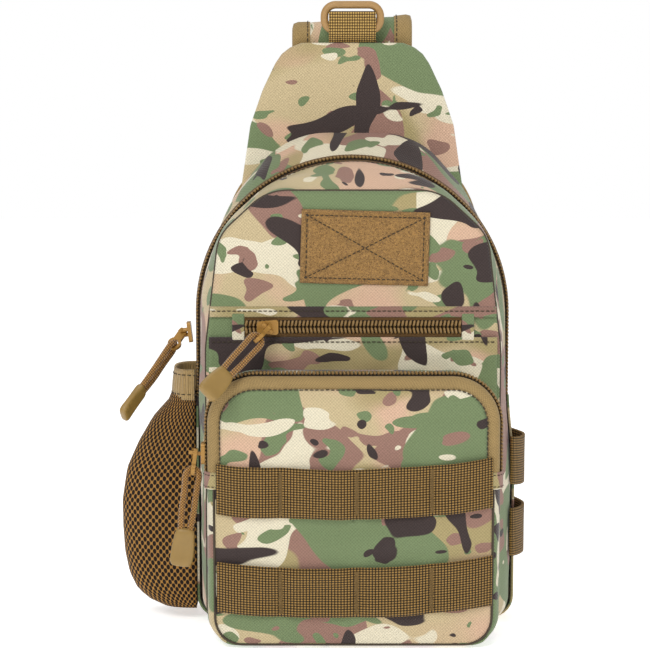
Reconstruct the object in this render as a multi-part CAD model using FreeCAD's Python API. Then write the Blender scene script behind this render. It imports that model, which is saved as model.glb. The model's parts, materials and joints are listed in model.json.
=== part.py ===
import FreeCAD, Part
import math
import os

# Sling bag, in millimetres. +X is the wearer's left as the bag is seen from the front, +Y points to the
# back panel, +Z is up. The origin is the middle of the flat base, on the surface the bag stands on.

V = FreeCAD.Vector

# Main compartment: half-widths, crown heights and depths of its three outlines.
FACE_HALF = 76.0
FACE_TOP = 231.0
FACE_Y = -14.0
ZIP_RADIUS = 83.0
ZIP_CENTRE_Z = 165.0
ZIP_FRONT_Y = 9.0
ZIP_REAR_Y = 21.0
REAR_HALF = 82.0
REAR_TOP = 261.0
REAR_Y = 44.0
BASE_CORNER = 12.0
CLOTH = 1.2
LINED = 1.6
GAP = 0.3

# Neck that carries the strap.
NECK_TOP = 308.0
NECK_Y = 37.0

NECK_FOOT_HALF = 54.0
NECK_SHOULDER = (49.0, 282.0)
NECK_TOP_HALF = 32.0
NECK_RADII = (1.0, 1.0, 20.0, 10.0, 10.0, 20.0)

# Board, divider and padded back.
BOARD_HALF = 66.0
BOARD_THICK = 2.0
BOARD_FRONT = 8.0
DIVIDER_TOP = 190.0
DIVIDER_CORNER = 20.0
DIVIDER_Y = 30.0
DIVIDER_FOOT = 8.0
FOAM_INSET = 7.0
FOAM_THICK = 5.0
AIR_MESH_INSET = 6.0
AIR_MESH_THICK = 1.0
BACK_LOW_HALF = 80.0
BACK_FOOT = 4.0
BACK_WAIST = (70.0, 215.0)
BACK_SHOULDER = (52.0, 268.0)
BACK_TOP_HALF = 31.0
BACK_RADII = (8.0, 8.0, 30.0, 60.0, 6.0, 6.0, 60.0, 30.0)

# Zips: chain and tape.
TAPE_THICK = 0.8
CHAIN_WIDTH = 5.2
CHAIN_THICK = 1.2
SLIDER_LONG = 11.0
SLIDER_WIDE = 8.0
SLIDER_HIGH = 3.2
MAIN_ZIP_END_Z = 118.0
MAIN_SLIDER_ANGLE = -7.0
MAIN_SLIDER_LIFT = 1.4

SLIDER_TAPER = 0.36
SLIDER_EDGE = 1.5
SLIDER_STEP = 1.2
MAIN_PULL_ALONG = (-27.0, -30.0, -36.7)
SLOT_PULL_ALONG = (-28.8, -42.0, -27.0)
SLOT_PULL_LIFT = 1.5
POCKET_PULL_ALONG = (-7.0, -2.0, -52.0)

# Slot zip across the face.
SLOT_Z = 161.0
SLOT_HALF = 56.0
SLOT_HEIGHT = 12.5
SLOT_SLIDER_X = -44.0
STOP_LONG = 6.0
SLIP_INSET = 3.0
SLIP_OVERLAP = 20.0
SLIP_CLEAR = 0.5

# Front pocket.
POCKET_HALF = 74.0
POCKET_TOP = 140.0
POCKET_CORNER = 24.0
POCKET_FRONT_Y = -46.0
POCKET_ZIP_Y = -39.0
POCKET_BAND = 6.0
POCKET_ZIP_END_Z = 88.0
POCKET_SLIDER_Z = 99.0
POCKET_TAB_LONG = 9.0
POCKET_BACK_INSET = 2.0
POCKET_BACK_DROP = 22.0

# Webbing rows, loop patch and side loops.
WEBBING = 25.4
WEBBING_THICK = 1.6
ROW_HALF = 70.5
ROW_Z = (80.0, 29.5)
PATCH_WIDE = 66.0
PATCH_HIGH = 38.0
PATCH_X = 6.0
PATCH_Z = 202.0
PATCH_TILT = 1.6
PATCH_THICK = 2.0
SIDE_LOOP_Z = (88.0, 49.5)
SIDE_LOOP_BOW = 9.0
SIDE_LOOP_RISE = 7.0
SIDE_LOOP_Y = (8.0, 38.0)
SIDE_LOOP_END = 4.0
SIDE_LOOP_CLEAR = 0.6

# Mesh bottle pocket on the left side.
MESH_INNER_X = -84.2
MESH_WALL = 1.5
MESH_MOUTH_Z = 135.0
MESH_BAND_Z = 120.0
MESH_Y = (9.0, 44.0)
MESH_SECTIONS = ((5.5, 17.0), (20.0, 31.0), (48.0, 39.0), (80.0, 35.0), (105.0, 24.0), (120.0, 16.0))

# Pulls: link, cord loop and moulded tag.
CORD = 3.2
CORD_SPREAD = 3.8
CORD_REACH = 36.0
LINK_LONG = 8.0
LINK_THICK = 2.0
LINK_EYE = 2.1
LINK_WALL = 1.5
LINK_FLAT = 0.6
LINK_BOSS = 2.4
CORD_MOUTH = V(CORD_REACH, 2.0, 0)
CORD_WAIST = V(24.0, 3.2, 0.6)
CORD_BEND = V(12.0, 3.0, 0)
PIN_RADIUS = 1.0
PIN_FIT = 0.05
PIN_HALF = 3.4
POST_RADIUS = 1.1
PIN_RISE = 5.0
TAG_LONG = 19.0
TAG_WIDE = 12.0
TAG_THICK = 5.0
TAG_TAPER = 0.66
TAG_ROUND = 0.8
TAG_EDGE = 1.5
POST_SINK = 1.0
POST_TOP = 0.8

# Hanging ring, strap, adjuster and buckle.
RING_WIDE = 34.0
RING_HIGH = 18.0
RING_BAR = 4.4
RING_Z = 320.0
TAB_HALF = 11.5
RING_Y = 30.5
RING_CORNERS = (4.0, 4.0, 8.5, 8.5)
RING_INNER_CORNERS = (1.0, 1.0, 4.2, 4.2)
TAB_TAIL = 22.0
TAB_FIT = 0.25
STRAP_HALF = 31.0
BINDING = 6.5
STRAP_THICK = 6.0
STRAP_FRONT_Y = 39.5
FOLD_INNER = 5.0
FOLD_Z = 310.0
STRAP_END_Z = 150.0
WEB_Y = 58.0
ADJUSTER_Z = 118.0
BUCKLE_WIDE = 34.0
BUCKLE_THICK = 9.0
BUCKLE_MOUTH_Z = 60.0
BINDING_EXTRA = 0.8
FOLD_FOOT = 1.0
WEB_FIT = 0.8
ADJUSTER_MARGIN = 4.0
ADJUSTER_WALL = 2.4
ADJUSTER_HALF = 8.0
ADJUSTER_WINDOW = (5.0, 1.5)
ADJUSTER_PITCH = 6.5
OVERCUT = 1.0
SHELL_WALL = 2.0
SHELL_LONG = 26.0
SHELL_CAVITY = 17.0
SHELL_WINDOW = (5.0, 14.0)
SHELL_ENTRY = 16.0
ENTRY_FIT = 0.5
PLUG_CLEAR = 2.6
PLUG_LONG = 16.0
PLUG_SLOT = (12.5, 9.0)
PRONG_LONG = 13.0
PRONG_INSET = (6.5, 3.5)
STEM_HALF = 3.0
WEBBING_IN_SOCKET = 20.0
ANCHOR_FOOT_Z = 22.0
ANCHOR_GAP = 16.5
ANCHOR_TAB_Z = (8.0, 21.5)
ANCHOR_TAB_MARGIN = 6.0
ANCHOR_TAB_REAR = 3.0


def save(name, shape):
    """Write one piece to its own file."""
    shape.exportStep("parts/" + name + ".step")


def box(low, high):
    """Block between two opposite corners."""
    size = V(*high) - V(*low)
    return Part.makeBox(size.x, size.y, size.z, V(*low))


def rounded_wire(corners, radii, place):
    """Closed outline through flat corners, each rounded; place turns a flat pair into a point."""
    joints = []
    count = len(corners)
    for index in range(count):
        here = place(*corners[index])
        back = (place(*corners[index - 1]) - here).normalize()
        ahead = (place(*corners[(index + 1) % count]) - here).normalize()
        half = back.getAngle(ahead) / 2.0
        reach = radii[index] / math.tan(half)
        centre = here + (back + ahead).normalize() * (radii[index] / math.sin(half))
        middle = centre + (here - centre).normalize() * radii[index]
        joints.append((here + back * reach, middle, here + ahead * reach))
    edges = []
    for index in range(count):
        start, middle, end = joints[index]
        following = joints[(index + 1) % count][0]
        edges.append(Part.Arc(start, middle, end).toShape())
        edges.append(Part.LineSegment(end, following).toShape())
    return Part.Wire(edges)


def upright(y):
    """Placement of a flat outline in the plane y."""
    return lambda x, z: V(x, y, z)


def body_outline(y, half, shoulder, crown, radius, inset):
    """Outline of the compartment: flat base, near upright sides, two-cornered crown."""
    base = half - inset
    corners = ((-base, inset), (base, inset), (shoulder[0] - inset, shoulder[1] - inset / 2.0),
               (crown[0], crown[1] - inset), (-crown[0], crown[1] - inset),
               (inset - shoulder[0], shoulder[1] - inset / 2.0))
    round_base = BASE_CORNER - inset
    round_crown = radius - inset
    radii = (round_base, round_base, round_crown, round_crown, round_crown, round_crown)
    return rounded_wire(corners, radii, upright(y))


def face_outline(y, inset):
    """Outline where the face meets the front gusset."""
    return body_outline(y, FACE_HALF, (FACE_HALF - 1.0, FACE_TOP - 26.0), (45.0, FACE_TOP), 40.0, inset)


def zip_outline(y, inset):
    """Outline at the main zip, whose crown is close to half a circle."""
    bevel = ZIP_RADIUS * math.tan(math.radians(22.5))
    crown_z = ZIP_CENTRE_Z + ZIP_RADIUS
    return body_outline(y, ZIP_RADIUS, (ZIP_RADIUS, ZIP_CENTRE_Z + bevel), (bevel, crown_z),
                        ZIP_RADIUS - 2.0, inset)


def rear_outline(y, inset):
    """Outline where the rear gusset meets the back panel."""
    return body_outline(y, REAR_HALF, (70.0, REAR_TOP - 46.0), (52.0, REAR_TOP), 30.0, inset)


def hollow_loft(first, second, y_first, y_second, thick):
    """Wall of the given thickness between two outlines."""
    outer = Part.makeLoft([first(y_first, 0.0), second(y_second, 0.0)], True, True)
    inner = Part.makeLoft([first(y_first, thick), second(y_second, thick)], True, True)
    base = box((-2 * ZIP_RADIUS, y_first, -thick), (2 * ZIP_RADIUS, y_second, CLOTH))
    return outer.cut(inner).cut(base)


def plate(wire, depth):
    """Flat sheet behind an upright outline."""
    return Part.Face(wire).extrude(V(0, depth, 0))


def inverted_u(half, top, corner, y, depth, foot):
    """Upright slab with rounded top corners and square lower corners."""
    corners = ((-half, foot), (half, foot), (half, top), (-half, top))
    return plate(rounded_wire(corners, (1.0, 1.0, corner, corner), upright(y)), depth)


def pocket_strip(outer, thick, y, depth, foot):
    """Strip that follows the front pocket's edge, thick across its edge and depth front to back."""
    whole = inverted_u(POCKET_HALF + outer, POCKET_TOP + outer, POCKET_CORNER + outer, y, depth, foot)
    inside = inverted_u(POCKET_HALF + outer - thick, POCKET_TOP + outer - thick,
                        POCKET_CORNER + outer - thick, y, depth, foot - 20.0)
    return whole.cut(inside)


def arch_strip(radius, thick, y, depth):
    """Strip over the compartment along the main zip: half a circle and two straight legs."""
    outer = Part.makeCylinder(radius + thick, depth, V(0, y, ZIP_CENTRE_Z), V(0, 1, 0))
    outer = outer.fuse(box((-radius - thick, y, MAIN_ZIP_END_Z), (radius + thick, y + depth, ZIP_CENTRE_Z)))
    inner = Part.makeCylinder(radius, depth, V(0, y, ZIP_CENTRE_Z), V(0, 1, 0))
    inner = inner.fuse(box((-radius, y, MAIN_ZIP_END_Z - 1.0), (radius, y + depth, ZIP_CENTRE_Z)))
    below = box((-2 * radius, y, 0), (2 * radius, y + depth, MAIN_ZIP_END_Z))
    return outer.cut(inner).cut(below).removeSplitter()


def compartment():
    """Main compartment: face, gussets, zip, base insert, divider and back."""
    save("front_panel", plate(face_outline(FACE_Y - LINED, 0.0), LINED))
    save("front_gusset", hollow_loft(face_outline, zip_outline, FACE_Y, ZIP_FRONT_Y, CLOTH))
    save("rear_gusset", hollow_loft(zip_outline, rear_outline, ZIP_REAR_Y, REAR_Y, CLOTH))
    middle = hollow_loft(zip_outline, zip_outline, ZIP_FRONT_Y, ZIP_REAR_Y, CLOTH)
    above = box((-2 * ZIP_RADIUS, ZIP_FRONT_Y, MAIN_ZIP_END_Z), (2 * ZIP_RADIUS, ZIP_REAR_Y, 2 * REAR_TOP))
    save("lower_gusset", middle.cut(above))
    chain_y = (ZIP_FRONT_Y + ZIP_REAR_Y - CHAIN_WIDTH) / 2.0
    tape_depth = (ZIP_REAR_Y - ZIP_FRONT_Y) / 2.0
    save("main_zip_tape_front", arch_strip(ZIP_RADIUS - TAPE_THICK, TAPE_THICK, ZIP_FRONT_Y, tape_depth))
    save("main_zip_tape_rear",
         arch_strip(ZIP_RADIUS - TAPE_THICK, TAPE_THICK, ZIP_FRONT_Y + tape_depth, tape_depth))
    save("main_zip_chain", arch_strip(ZIP_RADIUS, CHAIN_THICK, chain_y, CHAIN_WIDTH))
    base_half = FACE_HALF - BASE_CORNER
    save("base_panel", box((-base_half, FACE_Y, 0.0), (base_half, REAR_Y, CLOTH)))
    save("base_board", box((-BOARD_HALF, FACE_Y + BOARD_FRONT, CLOTH + GAP),
                           (BOARD_HALF, REAR_Y - BOARD_THICK, CLOTH + GAP + BOARD_THICK)))
    save("divider", inverted_u(BOARD_HALF, DIVIDER_TOP, DIVIDER_CORNER, DIVIDER_Y, CLOTH, DIVIDER_FOOT))
    save("back_panel", back_sheet(0.0, REAR_Y, LINED))
    save("back_foam", back_sheet(FOAM_INSET, REAR_Y + LINED, FOAM_THICK))
    save("back_air_mesh", back_sheet(AIR_MESH_INSET, REAR_Y + LINED + FOAM_THICK, AIR_MESH_THICK))


def back_sheet(inset, y, depth):
    """Sheet the shape of the whole back, from the base up the neck."""
    low = BACK_LOW_HALF - inset
    waist = BACK_WAIST[0] - inset
    shoulder = BACK_SHOULDER[0] - inset
    crown = BACK_TOP_HALF - inset
    foot = BACK_FOOT + inset
    top = NECK_TOP - inset
    corners = ((-low, foot), (low, foot), (waist, BACK_WAIST[1]), (shoulder, BACK_SHOULDER[1]), (crown, top),
               (-crown, top), (-shoulder, BACK_SHOULDER[1]), (-waist, BACK_WAIST[1]))
    return plate(rounded_wire(corners, BACK_RADII, upright(y)), depth)


def neck():
    """Neck between the compartment's crown and the strap: face cloth and foam."""
    foot = REAR_TOP + OVERCUT
    side, shoulder_z = NECK_SHOULDER
    corners = ((-NECK_FOOT_HALF, foot), (NECK_FOOT_HALF, foot), (side, shoulder_z),
               (NECK_TOP_HALF, NECK_TOP), (-NECK_TOP_HALF, NECK_TOP), (-side, shoulder_z))
    save("neck_panel", plate(rounded_wire(corners, NECK_RADII, upright(NECK_Y - CLOTH)), CLOTH))
    save("neck_foam", plate(rounded_wire(corners, NECK_RADII, upright(NECK_Y)), REAR_Y - NECK_Y))


def slot_zip():
    """Zip across the face, its facing cloth, end stops and the slip panel below it."""
    face = FACE_Y - LINED
    half_high = SLOT_HEIGHT / 2.0
    save("slot_zip_tape",
         box((-SLOT_HALF, face - TAPE_THICK, SLOT_Z - half_high), (SLOT_HALF, face, SLOT_Z + half_high)))
    chain_front = face - TAPE_THICK - CHAIN_THICK
    save("slot_zip_chain", box((-SLOT_HALF + OVERCUT, chain_front, SLOT_Z - CHAIN_WIDTH / 2.0),
                               (SLOT_HALF - OVERCUT, face - TAPE_THICK, SLOT_Z + CHAIN_WIDTH / 2.0)))
    stops = []
    for side in (-1.0, 1.0):
        near = side * SLOT_HALF
        far = side * (SLOT_HALF + STOP_LONG)
        stops.append(box((min(near, far), face - LINED, SLOT_Z - half_high),
                         (max(near, far), face, SLOT_Z + half_high)))
    save("slot_zip_end_tabs", Part.makeCompound(stops))
    save("slip_panel", box((-FACE_HALF + SLIP_INSET, face - LINED, POCKET_TOP - SLIP_OVERLAP),
                           (FACE_HALF - SLIP_INSET, face, SLOT_Z - half_high - SLIP_CLEAR)))
    patch = box((-PATCH_WIDE / 2.0, face - PATCH_THICK, -PATCH_HIGH / 2.0),
                (PATCH_WIDE / 2.0, face, PATCH_HIGH / 2.0))
    patch.rotate(V(0, 0, 0), V(0, 1, 0), PATCH_TILT)
    patch.translate(V(PATCH_X, 0, PATCH_Z))
    save("loop_patch", patch)


def front_pocket():
    """Front pocket: panel, band, zip, gussets, end tabs and webbing rows."""
    panel_half = POCKET_HALF - POCKET_BAND
    panel = inverted_u(panel_half, POCKET_TOP - POCKET_BAND, POCKET_CORNER - POCKET_BAND,
                       POCKET_FRONT_Y, LINED, 0.0)
    foot = box((-POCKET_HALF, POCKET_FRONT_Y, 0.0),
               (POCKET_HALF, POCKET_FRONT_Y + LINED, POCKET_ZIP_END_Z - POCKET_BAND - GAP))
    save("pocket_panel", panel.fuse(foot).removeSplitter())
    band = inverted_u(POCKET_HALF, POCKET_TOP, POCKET_CORNER, POCKET_FRONT_Y, LINED,
                      POCKET_ZIP_END_Z - POCKET_BAND)
    opening = inverted_u(panel_half, POCKET_TOP - POCKET_BAND, POCKET_CORNER - POCKET_BAND,
                         POCKET_FRONT_Y, LINED, 0.0)
    save("pocket_band", band.cut(opening))
    wall_y = POCKET_FRONT_Y + LINED
    tape_rear = 2.0 * POCKET_ZIP_Y - wall_y
    save("pocket_zip_tape", pocket_strip(0.0, TAPE_THICK, wall_y, tape_rear - wall_y, POCKET_ZIP_END_Z))
    save("pocket_zip_chain", pocket_strip(CHAIN_THICK, CHAIN_THICK, POCKET_ZIP_Y - CHAIN_WIDTH / 2.0,
                                          CHAIN_WIDTH, POCKET_ZIP_END_Z))
    rear = FACE_Y - 2.0 * LINED - GAP
    save("pocket_gusset_upper",
         pocket_strip(0.0, CLOTH, tape_rear, rear - tape_rear, POCKET_ZIP_END_Z))
    lower = box((-POCKET_HALF, wall_y, 0.0), (POCKET_HALF, rear, POCKET_ZIP_END_Z))
    hollow = box((CLOTH - POCKET_HALF, wall_y, CLOTH), (POCKET_HALF - CLOTH, rear, POCKET_ZIP_END_Z))
    save("pocket_gusset_lower", lower.cut(hollow))
    tabs = []
    for side in (-1.0, 1.0):
        near = side * (POCKET_HALF + GAP)
        far = side * (POCKET_HALF + GAP + LINED)
        tabs.append(box((min(near, far), wall_y, POCKET_ZIP_END_Z - POCKET_TAB_LONG),
                        (max(near, far), tape_rear, POCKET_ZIP_END_Z - GAP)))
    save("pocket_zip_end_tabs", Part.makeCompound(tabs))
    save("pocket_back", inverted_u(POCKET_HALF - POCKET_BACK_INSET, POCKET_TOP - POCKET_BACK_DROP,
                                   POCKET_CORNER, rear - CLOTH - GAP, CLOTH, CLOTH + GAP))
    for name, height in zip(("front_webbing_upper", "front_webbing_lower"), ROW_Z):
        save(name, box((-ROW_HALF, POCKET_FRONT_Y - WEBBING_THICK, height - WEBBING / 2.0),
                       (ROW_HALF, POCKET_FRONT_Y, height + WEBBING / 2.0)))


def side_loop(height):
    """Webbing bowed out from the right side between two sewn ends."""
    low = height - WEBBING / 2.0
    wall = ZIP_RADIUS + SIDE_LOOP_CLEAR
    crest = wall + SIDE_LOOP_BOW
    rise = SIDE_LOOP_RISE
    first, last = SIDE_LOOP_Y
    outer = ((wall, first - rise - SIDE_LOOP_END), (wall, first - rise), (crest, first), (crest, last),
             (wall, last + rise), (wall, last + rise + SIDE_LOOP_END))
    inner = []
    for x, y in outer:
        inner.append((x + WEBBING_THICK, y))
    points = []
    for x, y in list(outer) + inner[::-1]:
        points.append(V(x, y, low))
    points.append(points[0])
    return Part.Face(Part.makePolygon(points)).extrude(V(0, 0, WEBBING))


def mesh_section(height, reach, inset):
    """Outline of the mesh pocket at one height: flat against the bag, rounded outside."""
    near = MESH_INNER_X - inset
    far = MESH_INNER_X - reach + inset
    low = MESH_Y[0] + inset
    high = MESH_Y[1] - inset
    corner = min(reach * 0.45, 14.0) - inset
    flat = lambda x, y: V(x, y, height)
    return rounded_wire(((near, low), (near, high), (far, high), (far, low)), (0.6, 0.6, corner, corner), flat)


def bottle_pocket():
    """Mesh pocket with its open mouth, and the elastic band round the mouth."""
    outer_wires = []
    inner_wires = []
    for index, (height, reach) in enumerate(MESH_SECTIONS):
        floor = MESH_WALL if index == 0 else 0.0
        outer_wires.append(mesh_section(height, reach, 0.0))
        inner_wires.append(mesh_section(height + floor, reach, MESH_WALL))
    outer = Part.makeLoft(outer_wires, True, True)
    inner = Part.makeLoft(inner_wires, True, True)
    save("mesh_pocket", outer.cut(inner))
    top_height, top_reach = MESH_SECTIONS[-1]
    rise = V(0, 0, MESH_MOUTH_Z - MESH_BAND_Z)
    band = Part.Face(mesh_section(top_height, top_reach, 0.0)).extrude(rise)
    mouth = Part.Face(mesh_section(top_height, top_reach, 2.0)).extrude(rise)
    save("mesh_pocket_band", band.cut(mouth))


def cord_path(points):
    """Straight runs joined by tangent arcs, as large as the shorter run beside each point allows."""
    edges = []
    last = points[0]
    for index in range(1, len(points) - 1):
        here = points[index]
        back = points[index - 1] - here
        ahead = points[index + 1] - here
        reach = 0.45 * min(back.Length, ahead.Length)
        back.normalize()
        ahead.normalize()
        half = back.getAngle(ahead) / 2.0
        radius = reach * math.tan(half)
        print("cord radius %.2f mm, %.1f diameters" % (radius, radius / CORD))
        centre = here + (back + ahead).normalize() * (radius / math.sin(half))
        middle = centre + (here - centre).normalize() * radius
        start = here + (points[index - 1] - here).normalize() * reach
        end = here + (points[index + 1] - here).normalize() * reach
        edges.append(Part.LineSegment(last, start).toShape())
        edges.append(Part.Arc(start, middle, end).toShape())
        last = end
    edges.append(Part.LineSegment(last, points[-1]).toShape())
    return Part.Wire(edges)


def cord_tube(points):
    """Round tube of the cord's diameter along its path."""
    path = cord_path(points)
    start = points[0]
    ahead = points[1] - points[0]
    section = Part.Wire([Part.makeCircle(CORD / 2.0, start, ahead)])
    tube = path.makePipeShell([section], True, True)
    expected = math.pi * (CORD / 2.0) ** 2 * path.Length
    print("cord length %.1f mm, volume over section times length %.3f" % (path.Length, tube.Volume / expected))
    return tube


def pull_frame(eye, along, facing):
    """Placement of a pull: its length along local X, its strands side by side along local Y."""
    across = along.cross(facing).normalize()
    outward = along.cross(across)
    matrix = FreeCAD.Matrix(along.x, across.x, outward.x, eye.x, along.y, across.y, outward.y, eye.y,
                            along.z, across.z, outward.z, eye.z, 0, 0, 0, 1)
    return FreeCAD.Placement(matrix)


def pull_link():
    """Link from the slider's bridge to the cord's eye, a rounded bar with a hole at each end."""
    half = LINK_THICK / 2.0
    length = LINK_LONG
    radius = LINK_EYE + LINK_WALL
    bar = box((-length, -half, -radius * LINK_FLAT), (0.0, half, radius * LINK_FLAT))
    eye = Part.makeCylinder(radius, LINK_THICK, V(0, -half, 0), V(0, 1, 0))
    hinge = Part.makeCylinder(LINK_BOSS, LINK_THICK, V(-length, -half, 0), V(0, 1, 0))
    link = bar.fuse([eye, hinge])
    cord_hole = Part.makeCylinder(LINK_EYE, 2 * LINK_THICK, V(0, -LINK_THICK, 0), V(0, 1, 0))
    pin_hole = Part.makeCylinder(PIN_RADIUS + PIN_FIT, 2 * LINK_THICK, V(-length, -LINK_THICK, 0), V(0, 1, 0))
    return link.cut(cord_hole).cut(pin_hole)


def pull_tag():
    """Moulded cord end: a tapered grip with a rounded tip."""
    near = CORD_REACH
    half = TAG_WIDE / 2.0
    flat = lambda x, y: V(x, y, -TAG_THICK / 2.0)
    mouth = half * TAG_TAPER
    tip = half * TAG_ROUND
    corners = ((near, -mouth), (near + TAG_LONG, -half), (near + TAG_LONG, half), (near, mouth))
    wire = rounded_wire(corners, (TAG_EDGE, tip, tip, TAG_EDGE), flat)
    return Part.Face(wire).extrude(V(0, 0, TAG_THICK))


def pull_cord():
    """Loop of cord from the tag, through the link's eye and back to the tag."""
    half = [CORD_MOUTH, CORD_WAIST, CORD_BEND, V(0, CORD_SPREAD, 0)]
    points = [V(point.x, -point.y, point.z) for point in half] + half[::-1]
    return cord_tube(points)


def pull(name, start, along, facing):
    """Link, cord and tag of one zip pull, hung on its pin at the start."""
    place = pull_frame(start + along * LINK_LONG, along, facing)
    for suffix, shape in (("link", pull_link()), ("cord", pull_cord()), ("tag", pull_tag())):
        shape.Placement = place
        save(name + "_pull_" + suffix, shape)
    hinge = place.multVec(V(-LINK_LONG, 0, 0))
    axis = place.Rotation.multVec(V(0, 1, 0))
    print(name, "pull hinge at", tuple(round(c, 3) for c in hinge), "axis", tuple(round(c, 5) for c in axis))
    return hinge, axis


def slider(name, centre, along, outward, hinge, axis):
    """Zip slider: plate over the chain, and a bridge whose pin carries the pull."""
    across = outward.cross(along)
    low = centre + outward * (SLIDER_HIGH / 2.0)
    matrix = FreeCAD.Matrix(along.x, across.x, outward.x, low.x, along.y, across.y, outward.y, low.y,
                            along.z, across.z, outward.z, low.z, 0, 0, 0, 1)
    half = SLIDER_HIGH / 2.0
    narrow = SLIDER_WIDE * SLIDER_TAPER
    plan = ((-SLIDER_LONG / 2.0, -narrow), (SLIDER_LONG / 2.0, -SLIDER_WIDE / 2.0),
            (SLIDER_LONG / 2.0, SLIDER_WIDE / 2.0), (-SLIDER_LONG / 2.0, narrow))
    plan_wire = rounded_wire(plan, (SLIDER_EDGE,) * 4, lambda x, y: V(x, y, -half))
    body = Part.Face(plan_wire).extrude(V(0, 0, SLIDER_HIGH - SLIDER_STEP))
    body.Placement = FreeCAD.Placement(matrix)
    pin = Part.makeCylinder(PIN_RADIUS, 2 * PIN_HALF, hinge - axis * PIN_HALF, axis)
    parts = [pin]
    if abs(axis.dot(outward)) < 0.5:
        for side in (-1.0, 1.0):
            top = hinge + axis * (side * (PIN_HALF - POST_RADIUS))
            foot = top - outward * ((top - centre).dot(outward) - POST_SINK)
            parts.append(Part.makeCylinder(POST_RADIUS, (top - foot).Length + POST_TOP, foot, outward))
    else:
        depth = PIN_RISE - POST_SINK
        foot = hinge - axis * depth * math.copysign(1.0, axis.dot(outward))
        parts.append(Part.makeCylinder(PIN_RADIUS, depth, foot, hinge - foot))
    save(name + "_slider", body.fuse(parts).removeSplitter())


def pulls_and_sliders():
    """The three zip sliders with their pulls."""
    angle = math.radians(MAIN_SLIDER_ANGLE)
    outward = V(-math.cos(angle), 0, math.sin(angle))
    tangent = V(math.sin(angle), 0, math.cos(angle))
    zip_y = (ZIP_FRONT_Y + ZIP_REAR_Y) / 2.0
    seat = V(0, zip_y, ZIP_CENTRE_Z) + outward * (ZIP_RADIUS + CHAIN_THICK + GAP + MAIN_SLIDER_LIFT)
    hinge, axis = pull("main", seat + outward * PIN_RISE, V(*MAIN_PULL_ALONG).normalize(), outward)
    slider("main", seat, tangent, outward, hinge, axis)
    front = V(0, -1, 0)
    seat = V(SLOT_SLIDER_X, FACE_Y - LINED - TAPE_THICK - CHAIN_THICK - GAP, SLOT_Z)
    hinge, axis = pull("slot", seat + front * (PIN_RISE + SLOT_PULL_LIFT), V(*SLOT_PULL_ALONG).normalize(), front)
    slider("slot", seat, V(1, 0, 0), front, hinge, axis)
    left = V(-1, 0, 0)
    seat = V(-POCKET_HALF - CHAIN_THICK - GAP, POCKET_ZIP_Y, POCKET_SLIDER_Z)
    hinge, axis = pull("pocket", seat + left * PIN_RISE, V(*POCKET_PULL_ALONG).normalize(), front)
    slider("pocket", seat, V(0, 0, 1), left, hinge, axis)


def hanging_ring():
    """Oval ring and the webbing tab that holds it in front of the strap's root."""
    low = RING_Z - RING_HIGH / 2.0
    high = RING_Z + RING_HIGH / 2.0
    half = RING_WIDE / 2.0
    outer = rounded_wire(((-half, low), (half, low), (half, high), (-half, high)),
                         RING_CORNERS, upright(RING_Y))
    inside = half - RING_BAR
    inner = rounded_wire(((-inside, low + RING_BAR), (inside, low + RING_BAR), (inside, high - RING_BAR),
                          (-inside, high - RING_BAR)), RING_INNER_CORNERS, upright(RING_Y))
    ring = plate(outer, RING_BAR).cut(plate(inner, RING_BAR))
    save("hanging_ring", ring)
    bar_z = low + RING_BAR / 2.0
    bar_y = RING_Y + RING_BAR / 2.0
    print("ring hinge at", (0.0, bar_y, bar_z))
    inner_radius = RING_BAR * math.sqrt(0.5) + TAB_FIT
    outer_radius = inner_radius + WEBBING_THICK
    width = TAB_HALF
    sleeve = Part.makeCylinder(outer_radius, 2 * width, V(-width, bar_y, bar_z), V(1, 0, 0))
    tail = box((-width, bar_y, bar_z - TAB_TAIL), (width, bar_y + outer_radius, bar_z))
    bore = Part.makeCylinder(inner_radius, 2 * width, V(-width, bar_y, bar_z), V(1, 0, 0))
    neck_face = box((-2 * width, NECK_Y - CLOTH, 0.0), (2 * width, 2 * NECK_Y, NECK_TOP))
    tab = sleeve.fuse(tail).cut(bore).cut(neck_face)
    save("ring_tab", tab.removeSplitter())


def strap_profile(thick_extra):
    """Side outline of the strap: up from the neck, over the fold, and down behind the back."""
    inner = FOLD_INNER - thick_extra / 2.0
    outer = FOLD_INNER + STRAP_THICK + thick_extra / 2.0
    centre_y = STRAP_FRONT_Y + STRAP_THICK + FOLD_INNER
    at = lambda dy, z: V(0, centre_y + dy, z)
    foot = FOLD_Z - FOLD_FOOT
    edges = [Part.LineSegment(at(-inner, foot), at(-outer, foot)),
             Part.LineSegment(at(-outer, foot), at(-outer, FOLD_Z)),
             Part.Arc(at(-outer, FOLD_Z), at(0, FOLD_Z + outer), at(outer, FOLD_Z)),
             Part.LineSegment(at(outer, FOLD_Z), at(outer, STRAP_END_Z)),
             Part.LineSegment(at(outer, STRAP_END_Z), at(inner, STRAP_END_Z)),
             Part.LineSegment(at(inner, STRAP_END_Z), at(inner, FOLD_Z)),
             Part.Arc(at(inner, FOLD_Z), at(0, FOLD_Z + inner), at(-inner, FOLD_Z)),
             Part.LineSegment(at(-inner, FOLD_Z), at(-inner, foot))]
    return Part.Face(Part.Wire([edge.toShape() for edge in edges]))


def strap():
    """Padded strap with bound edges."""
    middle = STRAP_HALF - BINDING
    pad = strap_profile(0.0).extrude(V(2 * middle, 0, 0))
    pad.translate(V(-middle, 0, 0))
    save("strap_pad", pad)
    for name, left in (("strap_binding_left", -STRAP_HALF), ("strap_binding_right", middle)):
        binding = strap_profile(BINDING_EXTRA).extrude(V(BINDING, 0, 0))
        binding.translate(V(left, 0, 0))
        save(name, binding)


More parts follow.
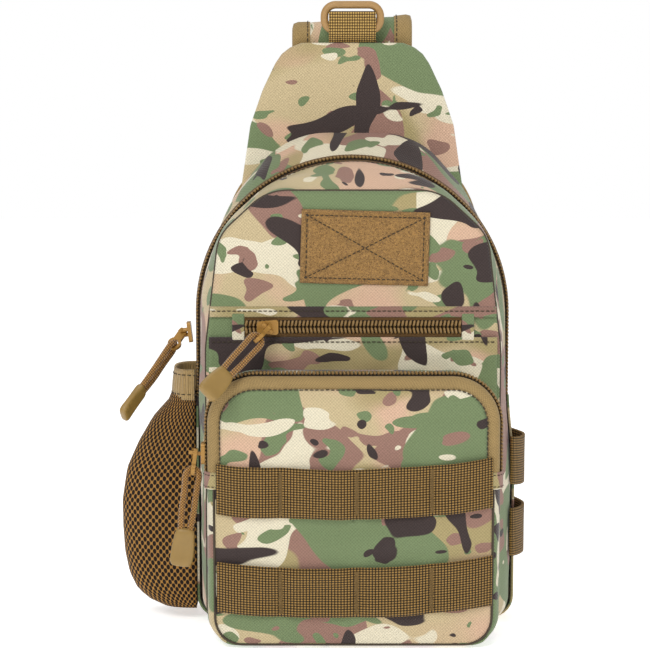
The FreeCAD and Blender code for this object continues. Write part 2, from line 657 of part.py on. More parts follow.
def strap_fittings():
    """Webbing from the pad's end, its adjuster, the side-release buckle and the lower anchor."""
    half = WEBBING / 2.0
    web_rear = WEB_Y + WEBBING_THICK
    save("strap_webbing", box((-half, WEB_Y, BUCKLE_MOUTH_Z + WEBBING_IN_SOCKET),
                              (half, web_rear, STRAP_END_Z)))
    wide = half + ADJUSTER_MARGIN
    reach = ADJUSTER_HALF + OVERCUT
    through = half + WEB_FIT
    front = WEB_Y - ADJUSTER_WALL
    rear = web_rear + ADJUSTER_WALL
    fit = WEB_FIT / 2.0
    frame = box((-wide, front, ADJUSTER_Z - ADJUSTER_HALF), (wide, rear, ADJUSTER_Z + ADJUSTER_HALF))
    slot = box((-through, WEB_Y - fit, ADJUSTER_Z - reach), (through, web_rear + fit, ADJUSTER_Z + reach))
    window = box((-through, front - OVERCUT, ADJUSTER_Z - ADJUSTER_WINDOW[0]),
                 (through, rear + OVERCUT, ADJUSTER_Z - ADJUSTER_WINDOW[1]))
    upper_window = window.copy()
    upper_window.translate(V(0, 0, ADJUSTER_PITCH))
    save("strap_adjuster", frame.cut([slot, window, upper_window]))
    low = BUCKLE_MOUTH_Z
    side = BUCKLE_WIDE / 2.0
    y_low = WEB_Y + WEBBING_THICK / 2.0 - BUCKLE_THICK / 2.0
    y_high = y_low + BUCKLE_THICK
    wall = SHELL_WALL
    base = low - OVERCUT
    shell = box((-side, y_low, low), (side, y_high, low + SHELL_LONG))
    upright_edges = [edge for edge in shell.Edges if abs(edge.tangentAt(0).z) > 0.9]
    shell = shell.makeFillet(wall, upright_edges)
    cavity = box((-side + wall, y_low + wall, base), (side - wall, y_high - wall, low + SHELL_CAVITY))
    windows = box((-2 * side, y_low + wall, low + SHELL_WINDOW[0]),
                  (2 * side, y_high - wall, low + SHELL_WINDOW[1]))
    entry_half = half + ENTRY_FIT
    entry = box((-entry_half, WEB_Y - ENTRY_FIT, low + SHELL_ENTRY),
                (entry_half, web_rear + ENTRY_FIT, low + SHELL_LONG + OVERCUT))
    save("buckle_socket", shell.cut([cavity, windows, entry]))
    plug_low = y_low + PLUG_CLEAR
    plug_high = y_high - PLUG_CLEAR
    bar = box((-side, y_low + OVERCUT, low - PLUG_LONG), (side, y_high - OVERCUT, low - GAP))
    bar_slot = box((-entry_half, y_low - OVERCUT, low - PLUG_SLOT[0]),
                   (entry_half, y_high + OVERCUT, low - PLUG_SLOT[1]))
    prongs = [box((-STEM_HALF, plug_low, base), (STEM_HALF, plug_high, low + PRONG_LONG))]
    for sign in (-1.0, 1.0):
        root = sign * (side - PRONG_INSET[0])
        tip = sign * (side - PRONG_INSET[1])
        prongs.append(box((min(root, tip), plug_low, base), (max(root, tip), plug_high, low + PRONG_LONG)))
    save("buckle_plug", bar.cut(bar_slot).fuse(prongs).removeSplitter())
    save("anchor_webbing", box((-half, WEB_Y, ANCHOR_FOOT_Z), (half, web_rear, low - ANCHOR_GAP)))
    face = REAR_Y + LINED + FOAM_THICK + AIR_MESH_THICK + GAP
    tab_half = half + ANCHOR_TAB_MARGIN
    save("anchor_tab", box((-tab_half, face, ANCHOR_TAB_Z[0]),
                           (tab_half, WEB_Y + ANCHOR_TAB_REAR, ANCHOR_TAB_Z[1])))


def main():
    """Write every piece."""
    os.makedirs("parts", exist_ok=True)
    compartment()
    neck()
    slot_zip()
    front_pocket()
    for name, height in zip(("side_webbing_upper", "side_webbing_lower"), SIDE_LOOP_Z):
        save(name, side_loop(height))
    bottle_pocket()
    pulls_and_sliders()
    hanging_ring()
    strap()
    strap_fittings()


main()
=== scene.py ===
"""Looks of the sling bag: cloth, webbing, zips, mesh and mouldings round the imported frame."""

from __future__ import annotations

import json
import logging
import math
from dataclasses import dataclass
from enum import Enum

import bpy
import numpy as np
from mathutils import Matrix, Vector

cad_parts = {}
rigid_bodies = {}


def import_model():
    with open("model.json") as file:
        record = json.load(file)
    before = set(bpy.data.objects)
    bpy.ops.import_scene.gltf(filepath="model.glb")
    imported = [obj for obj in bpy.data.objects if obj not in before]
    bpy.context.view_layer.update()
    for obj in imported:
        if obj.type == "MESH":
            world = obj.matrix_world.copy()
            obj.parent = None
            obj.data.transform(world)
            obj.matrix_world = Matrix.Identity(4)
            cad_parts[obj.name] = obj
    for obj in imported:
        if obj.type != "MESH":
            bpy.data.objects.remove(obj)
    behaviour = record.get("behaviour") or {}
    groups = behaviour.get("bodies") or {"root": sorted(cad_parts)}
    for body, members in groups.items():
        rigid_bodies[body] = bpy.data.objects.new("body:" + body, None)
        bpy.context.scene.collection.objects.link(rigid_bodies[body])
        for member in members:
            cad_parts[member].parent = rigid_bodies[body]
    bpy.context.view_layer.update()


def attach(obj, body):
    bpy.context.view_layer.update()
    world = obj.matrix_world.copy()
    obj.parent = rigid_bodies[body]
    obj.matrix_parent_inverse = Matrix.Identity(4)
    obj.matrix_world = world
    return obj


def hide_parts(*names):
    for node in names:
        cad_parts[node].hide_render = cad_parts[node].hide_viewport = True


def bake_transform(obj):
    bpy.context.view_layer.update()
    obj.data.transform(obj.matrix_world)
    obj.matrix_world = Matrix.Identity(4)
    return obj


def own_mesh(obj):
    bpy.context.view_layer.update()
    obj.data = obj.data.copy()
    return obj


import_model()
LOG = logging.getLogger("sling_bag")
MM = 0.001
ROOT = "bag"
FRONT = (0.0, -1.0, 0.0)
REAR = (0.0, 1.0, 0.0)
RIGHT = (1.0, 0.0, 0.0)
DOWN = (0.0, 0.0, -1.0)
BAG_MIDDLE = (0.0, 15.0, 110.0)
POCKET_MIDDLE = (0.0, -20.0, 60.0)
CLOTH = 1.2
STRAPPING = 1.5


def linear(code: str) -> tuple[float, float, float, float]:
    """Turn a six-digit screen colour into a linear one.

    Args:
        code: Red, green and blue as hexadecimal pairs.

    Returns:
        Linear red, green, blue and an alpha of 1.
    """
    shades = [int(code[place:place + 2], 16) / 255.0 for place in (0, 2, 4)]
    curve = [shade / 12.92 if shade <= 0.04045 else ((shade + 0.055) / 1.055) ** 2.4 for shade in shades]
    return curve[0], curve[1], curve[2], 1.0


class Value:
    """A shader socket that takes Python's arithmetic."""

    def __init__(self, recipe: "Recipe", socket: bpy.types.NodeSocket) -> None:
        """Keep the socket and the recipe it belongs to."""
        self.recipe = recipe
        self.socket = socket

    def math(self, operation: str, *others: object) -> "Value":
        """Add one Math node with this value first.

        Args:
            operation: The node's operation.
            others: Further values or numbers, in order.

        Returns:
            The node's result.
        """
        settings = {"operation": operation}
        return self.recipe.node("ShaderNodeMath", settings, dict(enumerate((self,) + others)))

    def reversed_math(self, operation: str, first: object) -> "Value":
        """Add one Math node with this value second."""
        return self.recipe.node("ShaderNodeMath", {"operation": operation}, {0: first, 1: self})

    def __add__(self, other: object) -> "Value":
        """Sum."""
        return self.math("ADD", other)

    def __radd__(self, other: object) -> "Value":
        """Reflected sum."""
        return self.reversed_math("ADD", other)

    def __sub__(self, other: object) -> "Value":
        """Difference."""
        return self.math("SUBTRACT", other)

    def __rsub__(self, other: object) -> "Value":
        """Reflected difference."""
        return self.reversed_math("SUBTRACT", other)

    def __mul__(self, other: object) -> "Value":
        """Product."""
        return self.math("MULTIPLY", other)

    def __rmul__(self, other: object) -> "Value":
        """Reflected product."""
        return self.reversed_math("MULTIPLY", other)

    def sine(self) -> "Value":
        """Sine."""
        return self.math("SINE")

    def size(self) -> "Value":
        """Absolute value."""
        return self.math("ABSOLUTE")

    def most(self, other: object) -> "Value":
        """The greater of two."""
        return self.math("MAXIMUM", other)

    def least(self, other: object) -> "Value":
        """The smaller of two."""
        return self.math("MINIMUM", other)

    def rise(self, low: float, high: float) -> "Value":
        """Smooth step from 0 at low to 1 at high."""
        settings = {"interpolation_type": "SMOOTHSTEP"}
        return self.recipe.node("ShaderNodeMapRange", settings, {0: self, 1: low, 2: high})


class Recipe:
    """The node tree of one finish."""

    def __init__(self, name: str) -> None:
        """Make an empty material with its shader and output.

        Args:
            name: The material's name.
        """
        self.material = bpy.data.materials.new(name)
        self.material.use_nodes = True
        self.tree = self.material.node_tree
        self.tree.nodes.clear()
        self.shader = self.tree.nodes.new("ShaderNodeBsdfPrincipled")
        output = self.tree.nodes.new("ShaderNodeOutputMaterial")
        self.tree.links.new(self.shader.outputs[0], output.inputs[0])

    def node(self, kind: str, settings: dict, inputs: dict, output: int | str = 0) -> Value:
        """Add any node.

        Args:
            kind: The node's type.
            settings: Its properties, set first.
            inputs: Values, links or numbers by socket number or name.
            output: The socket that is wanted.

        Returns:
            That output.
        """
        made = self.tree.nodes.new(kind)
        for name, setting in settings.items():
            setattr(made, name, setting)
        for name, given in inputs.items():
            if isinstance(given, Value):
                self.tree.links.new(given.socket, made.inputs[name])
            else:
                made.inputs[name].default_value = given
        return Value(self, made.outputs[output])

    def place(self, stretch: tuple[float, float] = (1.0, 1.0),
              shift: tuple[float, float] = (0.0, 0.0)) -> Value:
        """The piece's own flat coordinates in metres, stretched and shifted.

        Args:
            stretch: Scale of the two coordinates.
            shift: Their shift, in metres.

        Returns:
            The coordinates as a vector.
        """
        flat = self.node("ShaderNodeUVMap", {"uv_map": "cut"}, {})
        inputs = {"Vector": flat, "Location": (*shift, 0.0), "Scale": (*stretch, 1.0)}
        return self.node("ShaderNodeMapping", {}, inputs)

    def parts(self) -> tuple[Value, Value]:
        """The two flat coordinates on their own.

        Returns:
            The one across the piece and the one along it.
        """
        flat = self.node("ShaderNodeUVMap", {"uv_map": "cut"}, {})
        return (self.node("ShaderNodeSeparateXYZ", {}, {0: flat}, 0),
                self.node("ShaderNodeSeparateXYZ", {}, {0: flat}, 1))

    def noise(self, where: Value, scale: float, detail: float = 1.0, roughness: float = 0.4,
              bend: float = 0.0) -> Value:
        """Flat noise of about one blob per 1/scale metres."""
        inputs = {"Vector": where, "Scale": scale, "Detail": detail, "Roughness": roughness,
                  "Distortion": bend}
        return self.node("ShaderNodeTexNoise", {"noise_dimensions": "2D"}, inputs)

    def solid_noise(self, scale: float, detail: float = 2.0) -> Value:
        """Noise on the object's own coordinates."""
        where = self.node("ShaderNodeTexCoord", {}, {}, "Object")
        return self.node("ShaderNodeTexNoise", {}, {"Vector": where, "Scale": scale, "Detail": detail})

    def mix(self, factor: object, first: object, second: object) -> Value:
        """Blend two colours."""
        settings = {"data_type": "RGBA"}
        return self.node("ShaderNodeMix", settings, {0: factor, 6: first, 7: second}, 2)

    def shade(self, colour: object, factor: Value, low: float, high: float) -> Value:
        """Multiply a colour by a grey that runs from low to high with the factor.

        Args:
            colour: The colour.
            factor: Where between low and high the grey lies.
            low: Grey at 0.
            high: Grey at 1.

        Returns:
            The shaded colour.
        """
        grey = self.mix(factor, (low, low, low, 1.0), (high, high, high, 1.0))
        settings = {"data_type": "RGBA", "blend_type": "MULTIPLY"}
        return self.node("ShaderNodeMix", settings, {0: 1.0, 6: colour, 7: grey}, 2)

    def finish(self, colour: object, roughness: object, height: Value | None = None, depth: float = 0.2,
               strength: float = 0.6, fixed: dict | None = None) -> bpy.types.Material:
        """Feed the shader and give the material.

        Args:
            colour: Base colour, as a link or four numbers.
            roughness: Roughness, as a link or a number.
            height: Relief from 0 to 1, if any.
            depth: The relief's depth in millimetres.
            strength: The bump's strength.
            fixed: Other sockets' constants by name.

        Returns:
            The finished material.
        """
        for name, given in (("Base Color", colour), ("Roughness", roughness)):
            if isinstance(given, Value):
                self.tree.links.new(given.socket, self.shader.inputs[name])
            else:
                self.shader.inputs[name].default_value = given
        if height is not None:
            inputs = {"Height": height, "Strength": strength, "Distance": depth * MM}
            bump = self.node("ShaderNodeBump", {}, inputs)
            self.tree.links.new(bump.socket, self.shader.inputs["Normal"])
        for name, number in (fixed or {}).items():
            self.shader.inputs[name].default_value = number
        return self.material


def weave_height(recipe: Recipe, pitch: float) -> Value:
    """Plain weave: the product of two sine waves of the thread pitch, from 0 to 1.

    Args:
        recipe: The finish it belongs to.
        pitch: Thread pitch in millimetres.

    Returns:
        The height.
    """
    across, along = recipe.parts()
    turns = 2.0 * math.pi / (pitch * MM)
    return (across * turns).sine() * (along * turns).sine() * 0.5 + 0.5


@dataclass(frozen=True)
class Camouflage:
    """Plain-weave cloth printed with islands of seven colours."""

    name: str = "camouflage_cloth"
    khaki: str = "BEAC86"
    cream: str = "D8CFB6"
    pink: str = "CCA98F"
    sage: str = "70805A"
    olive: str = "A39468"
    rose: str = "916F62"
    dark: str = "3B302E"
    blob: float = 15.0
    thread: float = 1.7

    def patch(self, recipe: Recipe, shift: float, scale: float, stretch: tuple[float, float], level: float,
              bend: float = 0.25) -> Value:
        """Islands where noise passes a level, with crisp printed edges."""
        noise = recipe.noise(recipe.place(stretch, (shift, shift * 1.7)), scale, 1.3, 0.34, bend)
        return noise.rise(level - 0.004, level + 0.004)

    def make(self) -> bpy.types.Material:
        """Build the cloth: soft ground, then rose, cream, sage and dark shapes, then the weave, with painted
        shade between its threads.

        Returns:
            The material.
        """
        recipe = Recipe(self.name)
        wide = (1.0, 1.35)
        soft = recipe.noise(recipe.place((1.0, 1.3), (3.1, 1.2)), self.blob * 1.1, 1.0, 0.4, 0.3)
        ground = recipe.mix(soft.rise(0.46, 0.60), linear(self.khaki), linear(self.pink))
        other = recipe.noise(recipe.place((1.0, 1.3), (7.7, 4.4)), self.blob * 0.9, 1.0, 0.4, 0.3)
        ground = recipe.mix(other.rise(0.50, 0.62), ground, linear(self.olive))
        layers = (
            (self.patch(recipe, 35.1, self.blob * 1.0, wide, 0.575), self.rose),
            (self.patch(recipe, 11.3, self.blob * 1.4, (1.0, 1.7), 0.605), self.cream),
            (self.patch(recipe, 21.9, self.blob * 1.1, wide, 0.545), self.sage),
            (self.patch(recipe, 71.4, self.blob * 2.6, (1.0, 1.5), 0.680), self.rose),
            (self.patch(recipe, 42.7, self.blob * 2.2, (1.0, 2.0), 0.670), self.sage),
            (self.patch(recipe, 91.2, self.blob * 2.2, (1.0, 2.2), 0.710), self.cream),
            (self.patch(recipe, 81.3, self.blob * 4.0, (1.0, 1.2), 0.715), self.sage),
            (self.patch(recipe, 57.3, self.blob * 1.25, (1.0, 2.3), 0.664), self.dark),
            (self.patch(recipe, 63.9, self.blob * 1.6, (1.9, 1.0), 0.700), self.dark),
            (self.patch(recipe, 15.6, self.blob * 3.4, (1.0, 1.4), 0.755), self.dark))
        for mask, code in layers:
            ground = recipe.mix(mask, ground, linear(code))
        weave = weave_height(recipe, self.thread)
        fuzz = recipe.noise(recipe.place(), 900.0, 2.0, 0.6)
        # Painted shade: darker between the threads of the weave.
        ground = recipe.shade(ground, weave, 0.80, 1.08)
        ground = recipe.shade(ground, fuzz, 0.86, 1.12)
        return recipe.finish(ground, fuzz * 0.12 + 0.80, weave * 0.7 + fuzz * 0.5, 0.30, 0.7,
                             {"Sheen Weight": 0.25, "Sheen Roughness": 0.5, "Specular IOR Level": 0.25})


@dataclass(frozen=True)
class PlainCloth:
    """Plain dyed weave, for binding, band, tape and lining."""

    name: str
    code: str
    thread: float = 0.9
    rough: float = 0.85

    def make(self) -> bpy.types.Material:
        """Build the cloth.

        Returns:
            The material.
        """
        recipe = Recipe(self.name)
        weave = weave_height(recipe, self.thread)
        cloud = recipe.noise(recipe.place(), 60.0, 3.0, 0.6)
        fuzz = recipe.noise(recipe.place(), 1100.0, 2.0, 0.6)
        # Painted shade: darker between the threads of the weave.
        tone = recipe.shade(linear(self.code), weave, 0.78, 1.08)
        tone = recipe.shade(tone, cloud * 0.6 + fuzz * 0.4, 0.80, 1.20)
        return recipe.finish(tone, self.rough, weave + fuzz * 0.5, 0.35, 0.8,
                             {"Sheen Weight": 0.08, "Sheen Roughness": 0.5, "Specular IOR Level": 0.25})


@dataclass(frozen=True)
class Webbing:
    """Coarse ribbed webbing: staggered brick-like picks, with painted shade in the gaps between them."""

    name: str = "webbing"
    light: str = "97753E"
    deep: str = "1F1607"
    pick: float = 1.6
    row: float = 1.3

    def make(self) -> bpy.types.Material:
        """Build the webbing.

        Returns:
            The material.
        """
        recipe = Recipe(self.name)
        across, along = recipe.parts()
        row_turn = math.pi / (self.row * MM)
        pick_turn = math.pi / (self.pick * MM)
        ribs = (along * row_turn).sine().size()
        stagger = (along * row_turn * 0.5).sine().math("SIGN") * (math.pi / 2.0)
        picks = (across * pick_turn + stagger).sine().size()
        relief = ribs * 0.65 + picks * 0.35
        pits = (ribs * picks).rise(0.12, 0.80)
        fuzz = recipe.noise(recipe.place(), 700.0, 3.0, 0.6)
        # Painted shade: the gaps between picks take the deep colour.
        tone = recipe.mix(pits, linear(self.deep), linear(self.light))
        tone = recipe.shade(tone, fuzz, 0.75, 1.25)
        return recipe.finish(tone, 0.78, relief + fuzz * 0.25, 0.5, 0.9,
                             {"Sheen Weight": 0.05, "Specular IOR Level": 0.25})


@dataclass(frozen=True)
class HoleMesh:
    """Knitted mesh: staggered rows of oval holes, painted dark as shade, between raised yarns."""

    name: str
    yarn: str
    hole: str
    across: float = 2.9
    along: float = 2.1
    open_share: float = 0.40

    def make(self) -> bpy.types.Material:
        """Build the mesh: distance to the nearest oval on a half-step lattice.

        Returns:
            The material.
        """
        recipe = Recipe(self.name)
        first, second = recipe.parts()

        def lattice(shift: float) -> Value:
            """Squared distance to the nearest oval of one of the two interleaved sets.

            Args:
                shift: The set's offset, in steps of the lattice.

            Returns:
                The squared distance.
            """
            a = (first * (1.0 / (self.across * MM)) + shift).math("FRACT") - 0.5
            b = (second * (1.0 / (2.0 * self.along * MM)) + shift).math("FRACT") - 0.5
            return (a * a) * 4.4 + (b * b) * 3.4

        near = lattice(0.0).least(lattice(0.5))
        pit = near.rise(self.open_share * 0.72, self.open_share * 1.05)
        fuzz = recipe.noise(recipe.place(), 900.0, 3.0, 0.6)
        # Painted shade: the holes take a dark colour for the shade seen through them.
        tone = recipe.mix(pit, linear(self.hole), linear(self.yarn))
        tone = recipe.shade(tone, fuzz, 0.70, 1.30)
        return recipe.finish(tone, 0.75, pit + fuzz * 0.25, 0.9, 1.0,
                             {"Sheen Weight": 0.05, "Specular IOR Level": 0.2})


@dataclass(frozen=True)
class Pile:
    """Looped pile of a hook-and-loop patch."""

    name: str = "loop_pile"
    code: str = "C4954F"
    deep: str = "6A4A20"

    def make(self) -> bpy.types.Material:
        """Build the pile from two sizes of noise.

        Returns:
            The material.
        """
        recipe = Recipe(self.name)
        curls = recipe.noise(recipe.place(), 1300.0, 4.0, 0.7, 1.5)
        clumps = recipe.noise(recipe.place(), 260.0, 3.0, 0.6, 0.8)
        level = curls * 0.88 + clumps * 0.12
        # Painted shade: the deep colour fills the pile where it is low, between the loops.
        tone = recipe.mix(level.rise(0.36, 0.62), linear(self.deep), linear(self.code))
        return recipe.finish(tone, 0.95, level, 1.2, 1.0, {"Sheen Weight": 0.1, "Sheen Roughness": 0.6})


@dataclass(frozen=True)
class Ribbed:
    """Ribbed elastic or grosgrain, with ribs across its length."""

    name: str
    code: str
    rib: float = 1.1

    def make(self) -> bpy.types.Material:
        """Build the ribs.

        Returns:
            The material.
        """
        recipe = Recipe(self.name)
        across, along = recipe.parts()
        ribs = (across * (math.pi / (self.rib * MM))).sine().size()
        threads = (along * (math.pi / (0.6 * MM))).sine().size()
        fuzz = recipe.noise(recipe.place(), 700.0, 3.0, 0.6)
        # Painted shade: darker in the grooves between ribs and threads.
        tone = recipe.shade(linear(self.code), ribs * 0.7 + threads * 0.3, 0.62, 1.10)
        tone = recipe.shade(tone, fuzz, 0.80, 1.20)
        return recipe.finish(tone, 0.8, ribs + threads * 0.4, 0.4, 0.8, {"Sheen Weight": 0.25})


@dataclass(frozen=True)
class Braid:
    """Braided cord: two crossing sets of spiral strands on the cord's own coordinates."""

    name: str = "cord"
    light: str = "B98532"
    deep: str = "573609"
    strand: float = 1.5

    def make(self) -> bpy.types.Material:
        """Build the braid from object coordinates, since a bevelled curve has no cut map.

        Returns:
            The material.
        """
        recipe = Recipe(self.name)
        where = recipe.node("ShaderNodeTexCoord", {}, {}, "Object")
        across = recipe.node("ShaderNodeSeparateXYZ", {}, {0: where}, 0)
        along = recipe.node("ShaderNodeSeparateXYZ", {}, {0: where}, 2)
        turn = math.pi / (self.strand * MM)
        one = ((across + along) * turn).sine().size()
        two = ((across - along) * turn).sine().size()
        level = one.most(two)
        fuzz = recipe.solid_noise(900.0)
        # Painted shade: the deep colour fills the grooves between strands.
        tone = recipe.mix(level.rise(0.70, 0.98), linear(self.light), linear(self.deep))
        tone = recipe.shade(tone, fuzz, 0.75, 1.25)
        return recipe.finish(tone, 0.7, 1.0 - level, 0.4, 0.9, {"Sheen Weight": 0.3})


@dataclass(frozen=True)
class Solid:
    """Moulding, enamel or thread: one colour, clouded and lightly pitted."""

    name: str
    code: str
    rough: float = 0.45
    metal: float = 0.0
    grain: float = 0.06

    def make(self) -> bpy.types.Material:
        """Build the finish.

        Returns:
            The material.
        """
        recipe = Recipe(self.name)
        cloud = recipe.solid_noise(120.0, 3.0)
        pits = recipe.solid_noise(1800.0, 2.0)
        tone = recipe.shade(linear(self.code), cloud, 0.82, 1.15)
        rough = cloud * 0.2 + (self.rough - 0.1)
        return recipe.finish(tone, rough, pits, self.grain, 0.5, {"Metallic": self.metal})


class Finish(Enum):
    """The finishes on offer, one shared material each."""

    CAMOUFLAGE = Camouflage()
    KHAKI = PlainCloth("khaki_cloth", "9A8154", 1.5)
    TAPE = PlainCloth("zip_tape", "6B4E2A", 0.8)
    LINING = PlainCloth("lining", "6A5838", 0.8)
    WEBBING = Webbing()
    MESH = HoleMesh("pocket_mesh", "A4773A", "1B1008")
    AIR_MESH = HoleMesh("air_mesh", "8B7347", "40311C", 3.2, 2.7, 0.34)
    PILE = Pile()
    ELASTIC = Ribbed("elastic", "B0925E")
    CORD = Braid()
    MOULDING = Solid("tan_moulding", "A07C4A", 0.48)
    TAG = Solid("tag_moulding", "8E7139", 0.42)
    RING_WEBBING = Webbing("ring_webbing", "BA9856", "4B3517", 1.3, 1.5)
    ENAMEL = Solid("zip_enamel", "A27836", 0.35, 0.3)
    COIL = Solid("zip_coil", "86683A", 0.36)
    # Dark cloth under the zip coils: painted shade between the coil rows.
    COIL_SHADE = PlainCloth("zip_painted_shade", "2B2013", 0.8)
    THREAD = Solid("dark_thread", "3B3020", 0.7, 0.0, 0.1)
    TAN_THREAD = Solid("tan_thread", "7A6034", 0.7, 0.0, 0.1)
    FLOOR = Solid("pale_floor", "FBFBFB", 0.9, 0.0, 0.0)

    def material(self) -> bpy.types.Material:
        """The finish's material, made once.

        Returns:
            The material.
        """
        if self not in MADE:
            MADE[self] = self.value.make()
        return MADE[self]


MADE: dict[Finish, bpy.types.Material] = {}


def place_piece(piece: bpy.types.Object, finish: Finish, nodes: tuple[str, ...] = (),
                body: str = ROOT) -> bpy.types.Object:
    """Dress a piece, hang it on its body and report it.

    Args:
        piece: The finished object.
        finish: Its finish.
        nodes: CAD nodes that it stands for.
        body: The body that carries it.

    Returns:
        The same object.
    """
    piece.data.materials.clear()
    piece.data.materials.append(finish.material())
    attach(piece, body)
    if nodes:
        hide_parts(*nodes)
    LOG.info("%s on %s", piece.name, body)
    return piece


def mesh_object(name: str, points: np.ndarray, faces: np.ndarray, flat: np.ndarray | None = None,
                smooth: bool = True) -> bpy.types.Object:
    """Make an object from points in millimetres.

    Args:
        name: The piece's name.
        points: One row of three numbers per vertex.
        faces: One row of four vertex numbers per face.
        flat: Cut coordinates in metres, one pair per vertex of each face.
        smooth: Whether the shading is smooth.

    Returns:
        The linked object.
    """
    mesh = bpy.data.meshes.new(name)
    mesh.from_pydata((points * MM).tolist(), [], faces.tolist())
    if flat is not None:
        layer = mesh.uv_layers.new(name="cut")
        layer.data.foreach_set("uv", flat.astype(np.float32).ravel())
    mesh.polygons.foreach_set("use_smooth", np.full(len(faces), smooth))
    mesh.update()
    piece = bpy.data.objects.new(name, mesh)
    bpy.context.scene.collection.objects.link(piece)
    return piece


@dataclass
class Sheet:
    """A surface on a grid of rows and columns, which becomes a piece of cloth or a solid skin."""

    name: str
    grid: np.ndarray
    ring: bool = False
    cut: tuple[float, float] = (0.0, 0.0)
    turn_cut: bool = False
    upright: bool = False
    thick: float = 0.0
    inside: tuple[float, float, float] | None = None
    round_off: int = 0
    away: tuple[float, float, float] | None = None

    def flat_map(self) -> tuple[np.ndarray, np.ndarray]:
        """Cut coordinates: length along the middle row, and along the middle column, in metres.

        Returns:
            The lengths across and the lengths down.
        """
        grid = self.grid
        closed = np.concatenate([grid, grid[:, :1]], axis=1) if self.ring else grid
        row_step = np.linalg.norm(np.diff(closed, axis=1), axis=2)
        column_step = np.linalg.norm(np.diff(grid, axis=0), axis=2)
        along = np.concatenate([[0.0], np.cumsum(row_step.mean(axis=0))]) * MM
        down = np.concatenate([[0.0], np.cumsum(column_step.mean(axis=1))]) * MM
        return along, down

    def build(self) -> bpy.types.Object:
        """Make the mesh, its cut map, its outward side and its thickness.

        Returns:
            The object, with Solidify and Subdivision Surface where asked for.
        """
        rows, columns, _ = self.grid.shape
        spans = columns if self.ring else columns - 1
        row, column = np.meshgrid(np.arange(rows - 1), np.arange(spans), indexing="ij")
        row, column = row.ravel(), column.ravel()
        after = (column + 1) % columns
        faces = np.stack([row * columns + column, row * columns + after,
                          (row + 1) * columns + after, (row + 1) * columns + column], axis=1)
        along, down = self.flat_map()
        turns = ((0, 0), (1, 0), (1, 1), (0, 1))
        flat = np.stack([np.stack([along[column + right], down[row + lower]], 1) for right, lower in turns],
                        axis=1)
        if self.turn_cut:
            flat = flat[:, :, ::-1]
        flat = flat + np.array(self.cut)
        points = self.grid.reshape(-1, 3)
        corners = points[faces]
        normals = np.cross(corners[:, 2] - corners[:, 0], corners[:, 3] - corners[:, 1])
        if self.away is not None:
            facing = (normals @ np.array(self.away)).sum()
        else:
            centre = np.array(self.inside if self.inside is not None else points.mean(axis=0))
            facing = np.einsum("ij,ij->i", normals, corners.mean(axis=1) - centre).sum()
        if facing < 0.0:
            faces = faces[:, ::-1]
            flat = flat[:, ::-1]
        if self.upright:
            flat = points[faces][:, :, [0, 2]] * MM + np.array(self.cut)
        piece = mesh_object(self.name, points, faces, flat.reshape(-1, 2))
        if self.thick:
            wall = piece.modifiers.new("thickness", "SOLIDIFY")
            wall.thickness = self.thick * MM
            wall.offset = -1.0
            wall.use_even_offset = False
        if self.round_off:
            soft = piece.modifiers.new("softness", "SUBSURF")
            soft.levels = self.round_off
            soft.render_levels = self.round_off
        return piece

    def dress(self, finish: Finish, nodes: tuple[str, ...] = (), slot: str = "",
              body: str = ROOT) -> bpy.types.Object:
        """Build the sheet and place it as a piece."""
        return place_piece(self.build(), finish, nodes, body)


def ripples(across: np.ndarray, along: np.ndarray, seed: int, size: float, waves: int = 7) -> np.ndarray:
    """Gentle cloth ripples from -1 to 1: a sum of sine waves in seeded directions.

    Args:
        across: First coordinate in millimetres.
        along: Second coordinate in millimetres.
        seed: The random draw's seed.
        size: Typical wavelength in millimetres.
        waves: How many waves are summed.

    Returns:
        The height at each point.
    """
    draw = np.random.default_rng(seed)
    total = np.zeros_like(across)
    for _ in range(waves):
        heading = draw.uniform(0.0, 2.0 * math.pi)
        length = size * draw.uniform(0.6, 1.9)
        phase = draw.uniform(0.0, 2.0 * math.pi)
        travel = across * math.cos(heading) + along * math.sin(heading)
        total += np.sin(2.0 * math.pi * travel / length + phase)
    return total / math.sqrt(waves) / 1.6


def even_path(points: np.ndarray, count: int, closed: bool = False) -> np.ndarray:
    """Points spaced evenly along a path of straight pieces.

    Args:
        points: The path.
        count: How many points are wanted.
        closed: Whether the path returns to its start.

    Returns:
        The evenly spaced points; a closed path doesn't repeat its start.
    """
    path = np.vstack([points, points[:1]]) if closed else points
    steps = np.linalg.norm(np.diff(path, axis=0), axis=1)
    length = np.concatenate([[0.0], np.cumsum(steps)])
    wanted = np.linspace(0.0, length[-1], count, endpoint=not closed)
    return np.stack([np.interp(wanted, length, path[:, axis]) for axis in range(path.shape[1])], axis=1)


def rounded(corners: list[tuple[float, float]], radii: list[float], count: int,
            closed: bool = True) -> np.ndarray:
    """Outline through corners, each replaced by a circular arc tangent to its two sides.

    Args:
        corners: Corner points in order.
        radii: One radius per corner; ends of an open outline take none.
        count: Points wanted along the outline.
        closed: Whether the outline is a loop.

    Returns:
        Evenly spaced points.
    """
    made: list[np.ndarray] = []
    total = len(corners)
    for index, radius in enumerate(radii):
        here = np.array(corners[index], float)
        if not closed and index in (0, total - 1):
            made.append(here[None, :])
            continue
        back = np.array(corners[index - 1], float) - here
        ahead = np.array(corners[(index + 1) % total], float) - here
        back /= np.linalg.norm(back)
        ahead /= np.linalg.norm(ahead)
        half = math.acos(float(np.clip(back @ ahead, -1.0, 1.0))) / 2.0
        middle = (back + ahead) / np.linalg.norm(back + ahead)
        centre = here + middle * radius / math.sin(half)
        first = here + back * radius / math.tan(half) - centre
        last = here + ahead * radius / math.tan(half) - centre
        sweep = math.pi - 2.0 * half
        steps = np.linspace(0.0, 1.0, 14)[:, None]
        arc = (np.sin((1.0 - steps) * sweep) * first + np.sin(steps * sweep) * last) / math.sin(sweep)
        made.append(centre + arc)
    return even_path(np.vstack(made), count, closed)


